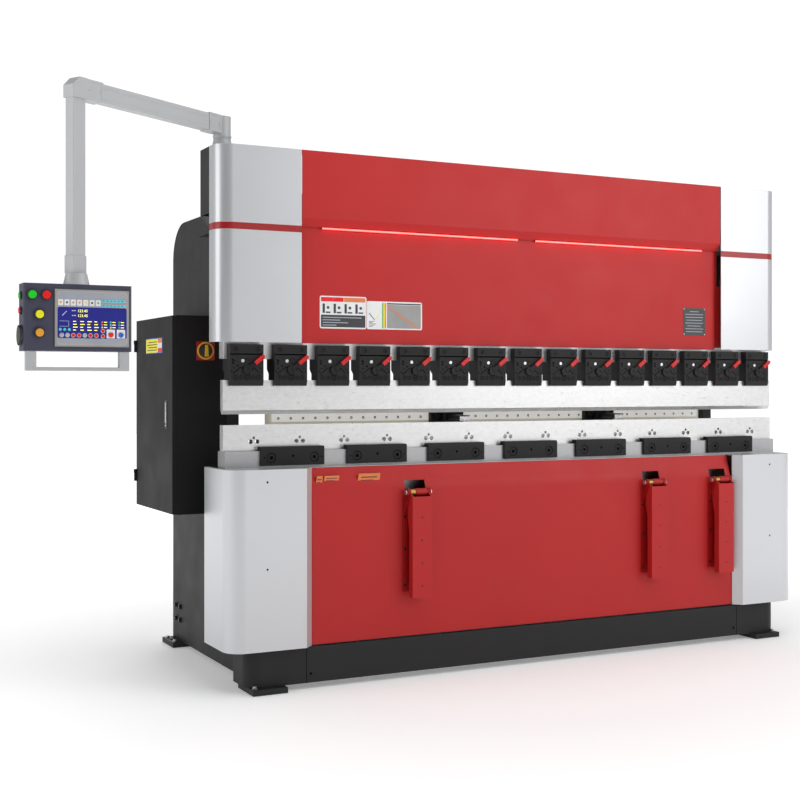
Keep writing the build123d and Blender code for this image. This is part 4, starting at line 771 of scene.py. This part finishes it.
def apron_plates():
    """Small blank tags on the leaning face of the apron."""
    lo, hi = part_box("lower_front_panel")
    rise = 0.128
    lean = Vector((0, 0.042, rise))
    knee = Vector((0, lo.y, hi.z - rise))
    tilt = -Vector((0, 1)).angle_signed(Vector((lean.y, lean.z)))
    parts = []
    for x, z, wide, high in ((-1.176, 0.061, 0.03, 0.062), (-1.114, 0.068, 0.074, 0.046),
                             (-0.926, 0.064, 0.112, 0.066)):
        spot = knee + lean * (z / rise) + Vector((x, 0, 0))
        marks = [film(-wide / 2, wide / 2, -high / 2, high / 2, 0, ORANGE_FILM, 0.001)]
        for i in range(3):
            z0 = -high / 2 + high * (0.2 + 0.24 * i)
            marks.append(film(-wide * 0.36, wide * (0.36 - 0.16 * (i % 2)), z0, z0 + high * 0.08, -0.0008,
                              DARK_FILM, 0.0004))
        parts.append(turned(joined(marks), -tilt, spot, "X"))
    fit(joined(parts), "apron_tags_blank", "frame")


def cabinet_fittings():
    """Door label and swing latch, then the main switch."""
    lo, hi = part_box("cabinet_door")
    face = lo.x + 0.013
    y, z = lo.y + 0.165, hi.z - 0.167
    label = block((face - 0.001, y, z), (face + 0.0003, y + 0.27, z + 0.066))
    rim = block((face - 0.0006, y - 0.005, z - 0.004), (face + 0.0003, y + 0.274, z + 0.07))
    parts = [coated(label, 0.0003, YELLOW_FILM, 1), coated(rim, 0.0002, BLUE_KEY, 1)]
    for z0, z1, finish in ((0.0, 0.02, RED_CAP), (0.021, 0.044, WHITE_FILM), (0.045, 0.066, ORANGE_FILM)):
        side = block((face - 0.0018, y, z + z0), (face - 0.0008, y + 0.064, z + z1))
        parts.append(coated(side, 0.0003, finish, 1))
    for i in range(4):
        line = block((face - 0.0014, y + 0.082, z + 0.01 + 0.013 * i),
                     (face - 0.0008, y + 0.25 - 0.02 * (i % 2), z + 0.0145 + 0.013 * i))
        parts.append(coated(line, 0.0002, DARK_FILM, 1))
    fit(joined(parts), "door_label_blank", "door")
    y, z = lo.y + 0.098, (lo.z + hi.z) / 2 + 0.002
    grip = block((face - 0.005, y - 0.0075, z - 0.058), (face + 0.004, y + 0.0075, z + 0.058))
    rounded(grip, 0.007, 6, lambda c, d: abs(d.x) > 0.9)
    grip = coated(grip, 0.0022, BRIGHT, 3)
    lock = coated(bar((face - 0.004, y, z - 0.047), 0.0062, 0.006, "X", 28), 0.0008, RUBBER)
    rim = block((face - 0.0012, y - 0.018, z - 0.068), (face + 0.0005, y + 0.018, z + 0.068))
    rim = coated(rim, 0.0005, RUBBER)
    fit(joined([rim, grip, lock]), "door_latch", "door")
    main_switch_fittings()


def main_switch_fittings():
    """Switch plate with its yellow ring and dark disc, and the grip that turns on them."""
    spot = pivot("main_switch_turn")
    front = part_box("electrical_cabinet")[0].y
    half, inner = 0.0448, 0.0335
    plate = block((spot.x - half, front - 0.0006, spot.z - half),
                  (spot.x + half, front + 0.0035, spot.z + half))
    rounded(plate, 0.006, 4, lambda c, d: abs(d.y) > 0.9)
    plate = coated(plate, 0.0008, RED_ACCENT)
    ring = bar((spot.x, front - 0.0016, spot.z), 0.0415, 0.003, "Y", 56)
    ring = cut(ring, bar((spot.x, front - 0.002, spot.z), inner, 0.01, "Y", 56))
    ring = coated(ring, 0.0008, SWITCH_YELLOW)
    disc = coated(bar((spot.x, front - 0.0008, spot.z), inner, 0.0022, "Y", 56), 0.0004, DARK_FILM)
    fit(joined([plate, ring, disc]), "main_switch_plate", "frame")
    hub = bar((spot.x, front - 0.0058, spot.z), 0.0285, 0.0076, "Y", 56)
    hub = coated(hub, 0.0015, DARK_FILM)
    grip = block((spot.x - 0.0075, front - 0.0255, spot.z - 0.0275),
                 (spot.x + 0.0075, front - 0.008, spot.z + 0.0275))
    pick(grip, "FACE", lambda c, n: n.z > 0.9)
    bpy.ops.transform.resize(value=(0.55, 1, 1))
    done()
    grip = pocket(grip, lambda c, n: n.y < -0.9, 0.0025, 0.0008)
    grip = coated(grip, 0.0018, SWITCH_YELLOW, 3)
    fit(joined([hub, grip]), "main_switch_handle", "main_switch")
    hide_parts("main_switch_knob")


# ---------------------------------------------------------------- console

def key(x, z, front, radius, height, finish, sides=28):
    """A domed round key that stands out of the panel."""
    cap = bar((x, front - height / 2, z), radius, height, "Y", sides)
    cap = pocket(cap, lambda c, n: n.y < -0.9, radius * 0.28, height * 0.18)
    return coated(cap, height * 0.22, finish)


def console_keypad():
    """Display, key films and round keys, placed from the panel's upper left corner."""
    lo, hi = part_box("console_box")
    panel_width, panel_drop = 0.295, 0.021
    x, z = hi.x - 0.013 - panel_width, lid_top() - panel_drop
    face = lo.y + 0.0038
    parts = []

    def plate(xa, za, xb, zb, finish, level=0.0008, thick=0.0003):
        parts.append(film(x + xa, x + xb, z - zb, z - za, face - level, finish, thick))

    plate(0.006, 0.006, 0.289, 0.22, RIM_BEIGE, -0.0012, 0.0004)
    plate(0.0105, 0.0105, 0.2845, 0.2155, PANEL_GREY, -0.0006, 0.0004)
    plate(0.0085, 0.0685, 0.2865, 0.1945, RIM_BEIGE, -0.0002, 0.0004)
    plate(0.01, 0.07, 0.285, 0.193, SCREEN, 0.0003, 0.0006)
    signs = (AMBER_CAP, DARK_FILM, ORANGE_FILM, AMBER_CAP, YELLOW_FILM, DARK_FILM, GREEN_FILM)
    for i, finish in enumerate(signs):
        xa = 0.012 + 0.0247 * i
        plate(xa, 0.04, xa + 0.02, 0.064, WHITE_FILM, 0.0003, 0.001)
        parts.append(key(x + xa + 0.01, z - 0.052, face - 0.0012, 0.0045, 0.001, finish, 6))
    for za, zb in ((0.036, 0.05), (0.055, 0.068)):
        plate(0.182, za, 0.2835, zb, RED_CAP, 0.0002, 0.0004)
        plate(0.1832, za + 0.0012, 0.2823, zb - 0.0012, CYAN_FILM, 0.0005, 0.0004)
        for i in range(6):
            plate(0.188 + 0.015 * i, za + 0.005, 0.196 + 0.015 * i, za + 0.0075, DARK_FILM)
    for za in (0.0895, 0.1085):
        parts.append(reading("123.45", x + 0.088, z - za, face - 0.0008, 0.015))
        for xa in (0.066, 0.075):
            plate(xa, za - 0.007, xa + 0.006, za - 0.004, WHITE_FILM)
    for row in range(4):
        za = 0.125 + 0.0113 * row
        for column in range(4):
            xa = 0.071 + 0.028 * column
            plate(xa, za, xa + 0.011 + 0.003 * ((row + column) % 3), za + 0.0028, DIGITS)
    lamps = ((ORANGE_FILM, CYAN_FILM, GREEN_FILM), (ORANGE_FILM, CYAN_FILM, GREEN_FILM),
             (YELLOW_FILM, YELLOW_FILM, GREEN_FILM))
    for row, line in enumerate(lamps):
        for column, finish in enumerate(line):
            xa, za = 0.183 + 0.034 * column, 0.124 + 0.0105 * row
            plate(xa, za, xa + 0.0065, za + 0.0065, finish, thick=0.0006)
            plate(xa + 0.01, za + 0.002, xa + 0.023, za + 0.0045, DIGITS)
    for xa in (0.0203, 0.0377, 0.0557):
        parts.append(key(x + xa, z - 0.159, face - 0.0008, 0.0062, 0.001, CYAN_FILM, 6))
    for xa, za, zb in ((0.018, 0.125, 0.126), (0.018, 0.146, 0.147), (0.053, 0.125, 0.147)):
        plate(xa, za, 0.054, zb, WHITE_FILM)
    slash = groove(x + 0.028, z - 0.104, x + 0.046, z - 0.086, face - 0.0008, 0.0022, 0.0004)
    parts.append(coated(slash, 0.0001, WHITE_FILM, 1))
    for i, finish in enumerate((BRIGHT, BRIGHT, RED_CAP, RED_CAP, BRIGHT, RED_CAP, RED_CAP)):
        parts += ringed_key(x + 0.0262 + 0.0227 * i, z - 0.181, face, 0.0092, finish)
    for za in (0.163, 0.1835):
        parts += ringed_key(x + 0.189, z - za, face, 0.0088, RED_CAP)
    for xa, finish in ((0.2205, RED_CAP), (0.2615, BLUE_KEY)):
        plate(xa - 0.017, 0.156, xa + 0.017, 0.1915, WHITE_FILM, thick=0.0006)
        parts += ringed_key(x + xa, z - 0.1775, face - 0.0006, 0.013, finish)
    fit(joined(parts), "console_keypad", "console")


def ringed_key(x, z, front, radius, finish):
    ring = bar((x, front - 0.001, z), radius, 0.0012, "Y", 28)
    return [coated(ring, 0.0003, BRIGHT, 1), key(x, z, front - 0.0012, radius * 0.72, 0.002, finish)]


def reading(digits, x, z, front, size):
    """Numbers shown on the display."""
    deselect()
    bpy.ops.object.text_add()
    text = bpy.context.object
    text.data.body = digits
    text.data.size = size
    text.data.extrude = 0.0002
    text.data.resolution_u = 2
    bpy.ops.object.convert(target="MESH")
    return paint(turned(bpy.context.object, pi / 2, (x, front, z), "X"), DIGITS)


def console_trim():
    """Collars round the buttons, the side dial and the screws at the back."""
    lo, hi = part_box("console_box")
    parts = []
    for node in ("start_button", "stop_button", "pump_button", "mode_button"):
        middle = sum(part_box(node), Vector()) / 2
        collar = bar((middle.x, lo.y + 0.0044, middle.z), 0.0212, 0.0076, "Y", 40)
        collar = cut(collar, bar((middle.x, lo.y, middle.z), 0.0166, 0.02, "Y", 40))
        parts.append(coated(collar, 0.001, RUBBER))
    for node in ("side_start_button", "side_stop_button"):
        middle = sum(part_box(node), Vector()) / 2
        left = lo.x + 0.012
        collar = bar((left - 0.0032, middle.y, middle.z), 0.0158, 0.0068, "X", 36)
        collar = cut(collar, bar((left, middle.y, middle.z), 0.0124, 0.02, "X", 36))
        parts.append(coated(collar, 0.0008, RUBBER))
    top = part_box("start_button")[1].z + 0.0295
    dial_z = top - 0.204
    knob = bar((lo.x + 0.005, middle.y, dial_z), 0.0402, 0.01, "X", 64)
    knob = pocket(knob, lambda c, n: n.x < -0.9, 0.006, 0.002)
    parts.append(coated(knob, 0.0012, RUBBER))
    for x in (lo.x + 0.022, hi.x - 0.01):
        for z in (top - 0.01, top - 0.255):
            screw = bar((x, hi.y + 0.0008, z), 0.0032, 0.0022, "Y", 20)
            parts.append(coated(screw, 0.0006, BRIGHT))
    fit(joined(parts), "console_trim", "console")


def arm_fittings():
    """Sleeves, ribs, cap and neck of the swing arm, made along X and turned to its heading."""
    post, elbow = pivot("console_arm_swing"), pivot("console_swivel")
    run = Vector((elbow.x - post.x, elbow.y - post.y))
    heading = Vector((1, 0)).angle_signed(run) * -1
    reach = run.length
    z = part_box("console_arm")[1].z - 0.0425
    near_end, far_end = 0.118, reach - 0.125
    parts = []
    for x0, x1 in ((0.036, near_end), (far_end, reach - 0.036)):
        sleeve = block((x0, -0.029, -0.0415), (x1, 0.029, 0.0415))
        parts.append(ease(pocket(sleeve, lambda c, n: abs(n.y) > 0.9, 0.01, 0.0015), 0.0035, 3))
    for side in (-1, 1):
        for dz in (-0.02, 0.02):
            y0, y1 = sorted((side * 0.0248, side * 0.0258))
            rib = block((near_end, y0, dz - 0.0022), (far_end, y1, dz + 0.0022))
            parts.append(ease(rib, 0.0004))
    cap = bar((0, 0, 0.0385), 0.0405, 0.004, "Z", 56)
    parts.append(ease(pocket(cap, lambda c, n: n.z > 0.9, 0.008, 0.0015), 0.0012))
    neck = bar((0, 0, -0.05), 0.0425, 0.008, "Z", 56)
    parts.append(ease(neck, 0.0016))
    for part in parts:
        paint(part, ARM_GREY)
    for dx in (0.05, 0.104, reach - 0.111, reach - 0.05):
        for side in (-1, 1):
            screw = bar((dx, side * 0.0292, 0), 0.0042, 0.0024, "Y", 20)
            parts.append(coated(screw, 0.0006, BRIGHT))
    one = joined(parts)
    one = turned(one, heading, (post.x, post.y, z), "Z")
    fit(one, "arm_sleeves", "console_arm")
    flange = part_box("console_post")[0].z + 0.008
    bolts = [hex_bolt((post.x + dx, post.y + dy, flange), 0.0065, 0.006, "Z", BRIGHT)
             for dy in (0.028, -0.028) for dx in (0.036, -0.036)]
    fit(joined(bolts), "post_bolts", "frame")


# ---------------------------------------------------------------- back gauge

def gauge_beam_dress():
    """Pale rail bands and end caps with a painted glow, screw row and joint screws in painted near-black shade,
    flush so that the fingers pass.
    """
    lo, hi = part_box("backgauge_beam")
    front = lo.y + 0.03
    base = hi.z - 0.09
    parts = []
    # The bands glow a little: painted light, as the beam lies in shade behind the tools.
    for z0, z1, proud in ((0.039, 0.077, 0.0001), (0.006, 0.014, 0.00008)):
        band = block((lo.x + 0.012, front - proud, base + z0), (hi.x - 0.012, front + 0.003, base + z1))
        parts.append(coated(band, proud / 2, RAIL_WHITE_PAINTED_GLOW, 1))
    step = 0.065
    count = int((hi.x - lo.x - 0.06) / step)
    first = (lo.x + hi.x - count * step) / 2
    screw = bar((first, front + 0.00082, base + 0.056), 0.0068, 0.002, "Y", 20)
    screw = cut(screw, bar((first, front - 0.0002, base + 0.056), 0.003, 0.0016, "Y", 6))
    # Painted shade: the screw heads are laid in near black, to read as dark holes in the band.
    screws = coated(screw, 0.00006, PAINTED_SHADE, 1)
    parts.append(row_of(screws, [(step * i, 0, 0) for i in range(1, count + 1)]))
    for x in (lo.x + 0.445, lo.x + 0.5, hi.x - 0.5, hi.x - 0.445):
        for dz in (0.022, 0.083):
            # Painted shade on the joint screws, as on the screw row.
            joint = bar((x, front + 0.00132, base + dz), 0.0068, 0.003, "Y", 20)
            parts.append(coated(joint, 0.00006, PAINTED_SHADE, 1))
    # End caps with the beam's painted glow.
    for x0, x1 in ((lo.x - 0.0004, lo.x + 0.0105), (hi.x - 0.0105, hi.x + 0.0004)):
        cap = block((x0, front - 0.00012, base + 0.001), (x1, lo.y + 0.089, hi.z - 0.001))
        parts.append(coated(pocket(cap, lambda c, n: abs(n.x) > 0.9, 0.006, 0.002), 0.0015, BEAM_ALU_PAINTED_GLOW))
    fit(joined(parts), "gauge_beam_dress", "backgauge")


def finger_dress(side):
    """Cast block with its lugs, clamp knob, screws and stop pad on one finger."""
    lo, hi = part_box(f"gauge_finger_{side}")
    x = (lo.x + hi.x) / 2
    face = hi.y - 0.0903
    body = block((x - 0.04, face - 0.03, hi.z - 0.086), (x + 0.04, face + 0.004, hi.z - 0.004))
    pick(body, "FACE", lambda c, n: n.y < -0.9)
    bpy.ops.mesh.inset(thickness=0.008, depth=0.01)
    done()
    parts = [coated(body, 0.003, CLAMP_BLACK, 3)]
    for dx in (-0.066, 0.066):
        lug = bar((x + dx, face - 0.008, hi.z - 0.04), 0.019, 0.022, "Y", 32)
        lug = pocket(lug, lambda c, n: n.y < -0.9, 0.005, 0.004)
        parts.append(coated(lug, 0.0015, CLAMP_BLACK))
        parts.append(socket_screw(x + dx, face - 0.02, hi.z - 0.04, 0.0085, 0.006))
    knob = bar((x + 0.012, face - 0.046, hi.z - 0.03), 0.012, 0.018, "Y", 12)
    parts.append(coated(knob, 0.002, RUBBER))
    for dx in (-0.08, -0.05, 0.05, 0.08):
        cap_screw = bar((x + dx, face + 0.045, hi.z + 0.001), 0.0065, 0.004, "Z", 20)
        parts.append(coated(cap_screw, 0.0008, BRIGHT))
    pad = block((x - 0.029, lo.y - 0.0006, hi.z - 0.074), (x + 0.029, lo.y + 0.003, hi.z - 0.052))
    parts.append(coated(pad, 0.0006, BRIGHT))
    fit(joined(parts), f"finger_dress_{side}", f"finger_{side}")


# ---------------------------------------------------------------- folding supports

def support_fittings(i):
    """Brass bushes and pin heads of one folding support, with its fixing screws."""
    spot = pivot(f"support_{i}_fold")
    lo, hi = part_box(f"support_arm_{i}")
    x = (lo.x + hi.x) / 2
    bush = bar((x - 0.031, spot.y, spot.z), 0.015, 0.024, "X", 36)
    bush = pocket(bush, lambda c, n: abs(n.x) > 0.9, 0.004, 0.001)
    parts = [coated(bush, 0.0015, BRASS)]
    knuckle = bar((x + 0.012, spot.y, spot.z), 0.018, 0.06, "X", 40)
    knuckle = pocket(knuckle, lambda c, n: abs(n.x) > 0.9, 0.005, 0.0015)
    parts.append(coated(knuckle, 0.002, RED))
    for side in (-1, 1):
        head = bar((x + side * 0.065, spot.y, spot.z), 0.0118, 0.005, "X", 32)
        parts.append(coated(head, 0.001, BRIGHT))
        ring = bar((x + side * 0.0615, spot.y, spot.z), 0.0105, 0.002, "X", 32)
        parts.append(coated(ring, 0.0004, BRASS))
    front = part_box("lower_front_panel")[0].y - 0.0095
    low = spot.z - 0.464
    for dx in (-0.062, 0.062):
        for dz in (0.03, 0.2, 0.35):
            parts.append(socket_screw(x + dx, front, low + dz, 0.0062, 0.005))
    fit(joined(parts), f"support_fittings_{i}", "frame")


def support_hole_rims(i):
    """Blackened eyelets pressed into the front holes of one folding support."""
    spot = pivot(f"support_{i}_fold")
    lo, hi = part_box(f"support_arm_{i}")
    x = (lo.x + hi.x) / 2
    z = spot.z - 0.435
    ring = bar((x, lo.y + 0.0012, z), 0.0056, 0.0022, "Y", 24)
    ring = cut(ring, bar((x, lo.y, z), 0.0022, 0.01, "Y", 20))
    ring = coated(ring, 0.0004, SCREW_BLACK)
    rings = row_of(ring, [(0, 0, dz) for dz in (0.107, 0.214, 0.32)])
    fit(rings, f"support_eyelets_{i}", f"support_{i}")


# ---------------------------------------------------------------- hydraulics and rear

def tank_front():
    """Front of the oil tank, which stands against the tie plate."""
    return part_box("cross_members")[0].y + 0.06


def power_pack_dress():
    """Motor, valve, filter and tank fittings, and the finishes of the pack under them."""
    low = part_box("hydraulic_power_pack")[0].z
    lid, front = low + 0.348, tank_front()
    middle, back = front + 0.24, front + 0.48
    motor_x, valve_x, filter_x = -0.26, 0.18, 0.44
    parts = motor_fittings(motor_x, middle, lid)
    parts += valve_fittings(valve_x, middle, lid)
    for z, radius, height, sides, width, segments in ((0.172, 0.06, 0.03, 48, 0.004, 3),
                                                      (0.196, 0.016, 0.02, 6, 0.002, 2)):
        head = bar((filter_x, middle, lid + z), radius, height, "Z", sides)
        parts.append(coated(head, width, BRIGHT, segments))
    filler = bar((-0.48, middle + 0.1, lid + 0.022), 0.036, 0.044, "Z", 40)
    parts.append(coated(pocket(filler, lambda c, n: n.z > 0.9, 0.006, 0.004), 0.003, RUBBER))
    glass = block((0.36, back - 0.001, low + 0.07), (0.392, back + 0.012, low + 0.26))
    parts.append(coated(pocket(glass, lambda c, n: n.y > 0.9, 0.006, 0.003), 0.002, BRIGHT))
    window = block((0.368, back + 0.008, low + 0.08), (0.384, back + 0.01, low + 0.25))
    parts.append(coated(window, 0.0008, AMBER_CAP))
    parts.append(hex_bolt((-0.52, back, low + 0.04), 0.016, 0.016, "Y", BRIGHT))
    for i in range(8):
        for y in (front + 0.022, back - 0.022):
            parts.append(hex_bolt((-0.56 + 0.16 * i, y, lid), 0.006, 0.006, "Z", BRIGHT))
    fit(joined(parts), "power_pack_dress", "frame")
    pack = bpy.data.objects["hydraulic_power_pack_finished"]

    def on_lid(c, x, reach_x, reach_y):
        return c.z > lid + 0.002 and abs(c.x - x) < reach_x and abs(c.y - middle) < reach_y

    def on_pipe(c):
        beside = abs(c.x) > 0.9 or c.y < front + 0.09 or 0.0875 < abs(c.x - valve_x) < 0.19
        return c.z > lid + 0.1 and beside and abs(c.z - lid - 0.112) < 0.016

    paint(pack, MOTOR_PAINT, lambda c, n: on_lid(c, motor_x, 0.115, 0.115))
    paint(pack, CYL_PAINT, lambda c, n: on_lid(c, valve_x, 0.0875, 0.088))
    paint(pack, BRIGHT, lambda c, n: on_pipe(c))


def motor_fittings(x, y, lid):
    """Cooling fins all round, base ring, fan cowl and terminal box."""
    fins = 28
    fin = ease(block((x + 0.104, y - 0.0022, lid + 0.03), (x + 0.128, y + 0.0022, lid + 0.215)), 0.0008, 1)
    ring = [fin]
    for i in range(1, fins):
        twin = copy_of(fin, (-x, -y, 0))
        ring.append(turned(twin, i * 2 * pi / fins, (x, y, 0), "Z"))
    parts = [paint(joined(ring), MOTOR_PAINT)]
    for z0, z1, radius in ((0.004, 0.03, 0.126), (0.215, 0.2885, 0.131)):
        cowl = bar((x, y, lid + (z0 + z1) / 2), radius, z1 - z0, "Z", 48)
        parts.append(coated(cowl, 0.006, MOTOR_PAINT, 3))
    box = block((x - 0.06, y - 0.185, lid + 0.09), (x + 0.06, y - 0.108, lid + 0.18))
    parts.append(coated(pocket(box, lambda c, n: n.y < -0.9, 0.008, 0.003), 0.003, MOTOR_PAINT))
    return parts


def valve_fittings(x, middle, lid):
    """Two valve spools, each with a coil and a nut at both ends."""
    parts = []
    for y in (middle - 0.045, middle + 0.045):
        for side in (-1, 1):
            coil_x = x + side * 0.118
            coil = block((coil_x - 0.03, y - 0.026, lid + 0.152), (coil_x + 0.03, y + 0.026, lid + 0.204))
            parts.append(coated(coil, 0.004, RUBBER, 3))
            cap = bar((x + side * 0.155, y, lid + 0.178), 0.013, 0.014, "X", 6)
            parts.append(coated(cap, 0.0015, BRIGHT))
        spool = block((x - 0.09, y - 0.024, lid + 0.15), (x + 0.09, y + 0.024, lid + 0.2))
        parts.append(coated(spool, 0.003, CYL_PAINT))
    return parts


def frame_bolts():
    """Bolts through the tie plate and the rear tube into both side frames."""
    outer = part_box("side_frame_right")[1].x
    tie_lo, tie_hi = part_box("cross_members")
    parts = []
    for out in (-1, 1):
        x = out * outer
        for i in range(4):
            spot = (x, tie_lo.y + 0.03, tie_hi.z - 0.045 - 0.077 * i)
            parts.append(hex_bolt(spot, 0.015, out * 0.013, "X", SCREW_BLACK))
        for dz in (-0.035, 0.035):
            for dy in (-0.035, 0.035):
                spot = (x, tie_hi.y - 0.06 + dy, 0.17 + dz)
                parts.append(hex_bolt(spot, 0.013, out * 0.011, "X", SCREW_BLACK))
    fit(joined(parts), "frame_bolts", "frame")


def gauge_drive():
    """Screw spindle, bearing blocks, motor and fixing screws of the back gauge on each guide."""
    lo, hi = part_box("backgauge_guides")
    for side, name in ((-1, "left"), (1, "right")):
        x = side * (hi.x - 0.04)
        line = x + side * 0.052
        spindle = bar((line, (lo.y + hi.y) / 2 + 0.02, hi.z - 0.05), 0.01, hi.y - lo.y - 0.12, "Y", 24)
        parts = [coated(spindle, 0.001, CHROME)]
        for y in (lo.y + 0.05, hi.y - 0.03):
            holder = block((line - 0.022, y - 0.014, hi.z - 0.082), (line + 0.022, y + 0.014, hi.z - 0.026))
            parts.append(coated(holder, 0.003, CLAMP_BLACK))
        motor = block((line - 0.032, hi.y - 0.012, hi.z - 0.086), (line + 0.032, hi.y + 0.105, hi.z - 0.022))
        parts.append(coated(pocket(motor, lambda c, n: n.y > 0.9, 0.006, 0.002), 0.004, RUBBER, 3))
        for i in range(9):
            screw = bar((x, lo.y + 0.08 + 0.085 * i, hi.z + 0.0004), 0.005, 0.002, "Z", 16)
            parts.append(coated(screw, 0.0004, SCREW_BLACK, 1))
        fit(joined(parts), f"gauge_drive_{name}", "frame")


def ledge_and_pins():
    """Grey ledge strip on the apron's top edge, and locating pins beside the die clamps."""
    lo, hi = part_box("lower_front_panel")
    strip = block((lo.x + 0.002, lo.y + 0.0405, hi.z - 0.0006), (hi.x - 0.002, hi.y - 0.0005, hi.z + 0.0016))
    strip = coated(strip, 0.0005, ARM_GREY)
    fit(strip, "apron_ledge_strip", "frame")
    a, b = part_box("die_clamps")
    pin = bar((a.x - 0.01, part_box("die_rail")[0].y - 0.004, b.z - 0.006), 0.0058, 0.012, "Y", 24)
    pin = coated(pin, 0.0012, BRIGHT)
    pins = row_of(pin, [(die_bar_pitch() * i, 0, 0) for i in range(1, DIE_BARS)])
    fit(pins, "locating_pins", "frame")


def plinth_details():
    """Seams between the plinth's corner and middle sheets and plugs, both in painted near-black shade, and the
    feet's levelling screws.
    """
    lo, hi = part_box("base_plinth")
    parts = []
    for side in (-1, 1):
        x = side * (hi.x - 0.282)
        # Painted shade: the seam and the plug are laid in near black.
        seam = block((x - 0.0016, lo.y - 0.0002, lo.z + 0.001), (x + 0.0016, lo.y + 0.001, hi.z - 0.001))
        parts.append(coated(seam, 0.0002, PAINTED_SHADE, 1))
        plug = bar((side * 1.228, lo.y - 0.0004, lo.z + 0.041), 0.0062, 0.0022, "Y", 20)
        parts.append(coated(plug, 0.0004, PAINTED_SHADE, 1))
    a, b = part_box("anchor_feet")
    for side in (-1, 1):
        for y in (a.y + 0.035, a.y + 0.16, b.y - 0.035, b.y - 0.16):
            parts.append(hex_bolt((side * (b.x - 0.02), y, b.z), 0.01, 0.012, "Z", BRIGHT))
    fit(joined(parts), "plinth_details", "frame")


# ---------------------------------------------------------------- studio

def studio():
    deselect()
    bpy.ops.mesh.primitive_plane_add(size=60, location=(0, 0, -0.002))
    floor = bpy.context.object
    floor.name = "studio_floor"
    finish, tree, shader, coords = base_finish("studio floor white", 0.0, 0.75)
    slow = spread(tree, noise(tree, coords, 0.3), 0.0, 1.0)
    tone = blended(tree, slow, (0.93, 0.93, 0.93, 1), (0.95, 0.95, 0.95, 1))
    tree.links.new(tone, shader.inputs["Base Color"])
    place = tree.nodes.new("ShaderNodeVectorMath")
    place.operation = "LENGTH"
    tree.links.new(coords, place.inputs[0])
    shader.inputs["Emission Color"].default_value = (1.0, 1.0, 1.0, 1.0)
    glow = spread(tree, place.outputs["Value"], 0.22, 0.85, 1.8, 7.0)
    tree.links.new(glow, shader.inputs["Emission Strength"])
    floor.data.materials.append(finish)
    world = bpy.context.scene.world or bpy.data.worlds.new("studio")
    bpy.context.scene.world = world
    world.use_nodes = True
    tree = world.node_tree
    backdrop = tree.nodes["Background"]
    backdrop.inputs["Color"].default_value = (1.0, 1.0, 1.0, 1.0)
    seen = tree.nodes.new("ShaderNodeLightPath").outputs["Is Camera Ray"]
    heading = tree.nodes.new("ShaderNodeVectorMath")
    heading.operation = "DOT_PRODUCT"
    heading.inputs[1].default_value = (-0.5, -0.86, 0.0)
    tree.links.new(tree.nodes.new("ShaderNodeTexCoord").outputs["Generated"], heading.inputs[0])
    lighting = spread(tree, heading.outputs["Value"], 0.46, 0.0, 0.7, 0.94)
    whole = tree.nodes.new("ShaderNodeMath")
    whole.operation = "MAXIMUM"
    tree.links.new(spread(tree, seen, 0.0, 1.05, 0.0, 1.0), whole.inputs[0])
    tree.links.new(lighting, whole.inputs[1])
    tree.links.new(whole.outputs["Value"], backdrop.inputs["Strength"])
    soft_light("key", (4.5, -6.5, 3.6), (0.2, -0.4, 1.2), 4.0, 145.0)
    soft_light("fill", (-6.2, -0.2, 2.8), (-0.4, -0.4, 1.2), 3.0, 48.0)
    soft_light("top", (0.0, -1.5, 5.5), (0.0, -0.2, 1.0), 5.0, 90.0)
    soft_light("rear", (1.5, 6.0, 4.0), (0.0, 0.4, 1.2), 4.0, 120.0)


def soft_light(name, spot, aim, size, power):
    deselect()
    bpy.ops.object.light_add(type="AREA", location=spot)
    light = bpy.context.object
    light.name = name
    light.data.energy = power
    light.data.size = size
    light.rotation_euler = (Vector(aim) - Vector(spot)).to_track_quat("-Z", "Y").to_euler()


def camera():
    deselect()
    bpy.ops.object.camera_add(location=(-3.512, -6.057, 1.365), rotation=(radians(90), 0, radians(-26.85)))
    eye = bpy.context.object
    eye.data.lens = 58.37
    eye.data.sensor_width = 36.0
    eye.data.shift_y = -0.018
    bpy.context.scene.camera = eye
    bpy.context.scene.view_settings.view_transform = "Standard"


camera()
finish_made_parts()
tool_clamp_row()
clamp_levers()
die_clamp_row()
for end in ("left", "right"):
    accent_band(end)
light_strips()
cover_screws()
info_plates()
apron_plates()
cabinet_fittings()
console_keypad()
console_trim()
arm_fittings()
gauge_beam_dress()
for end in ("left", "right"):
    finger_dress(end)
for number in (1, 2, 3):
    support_fittings(number)
    support_hole_rims(number)
power_pack_dress()
frame_bolts()
gauge_drive()
ledge_and_pins()
plinth_details()
studio()
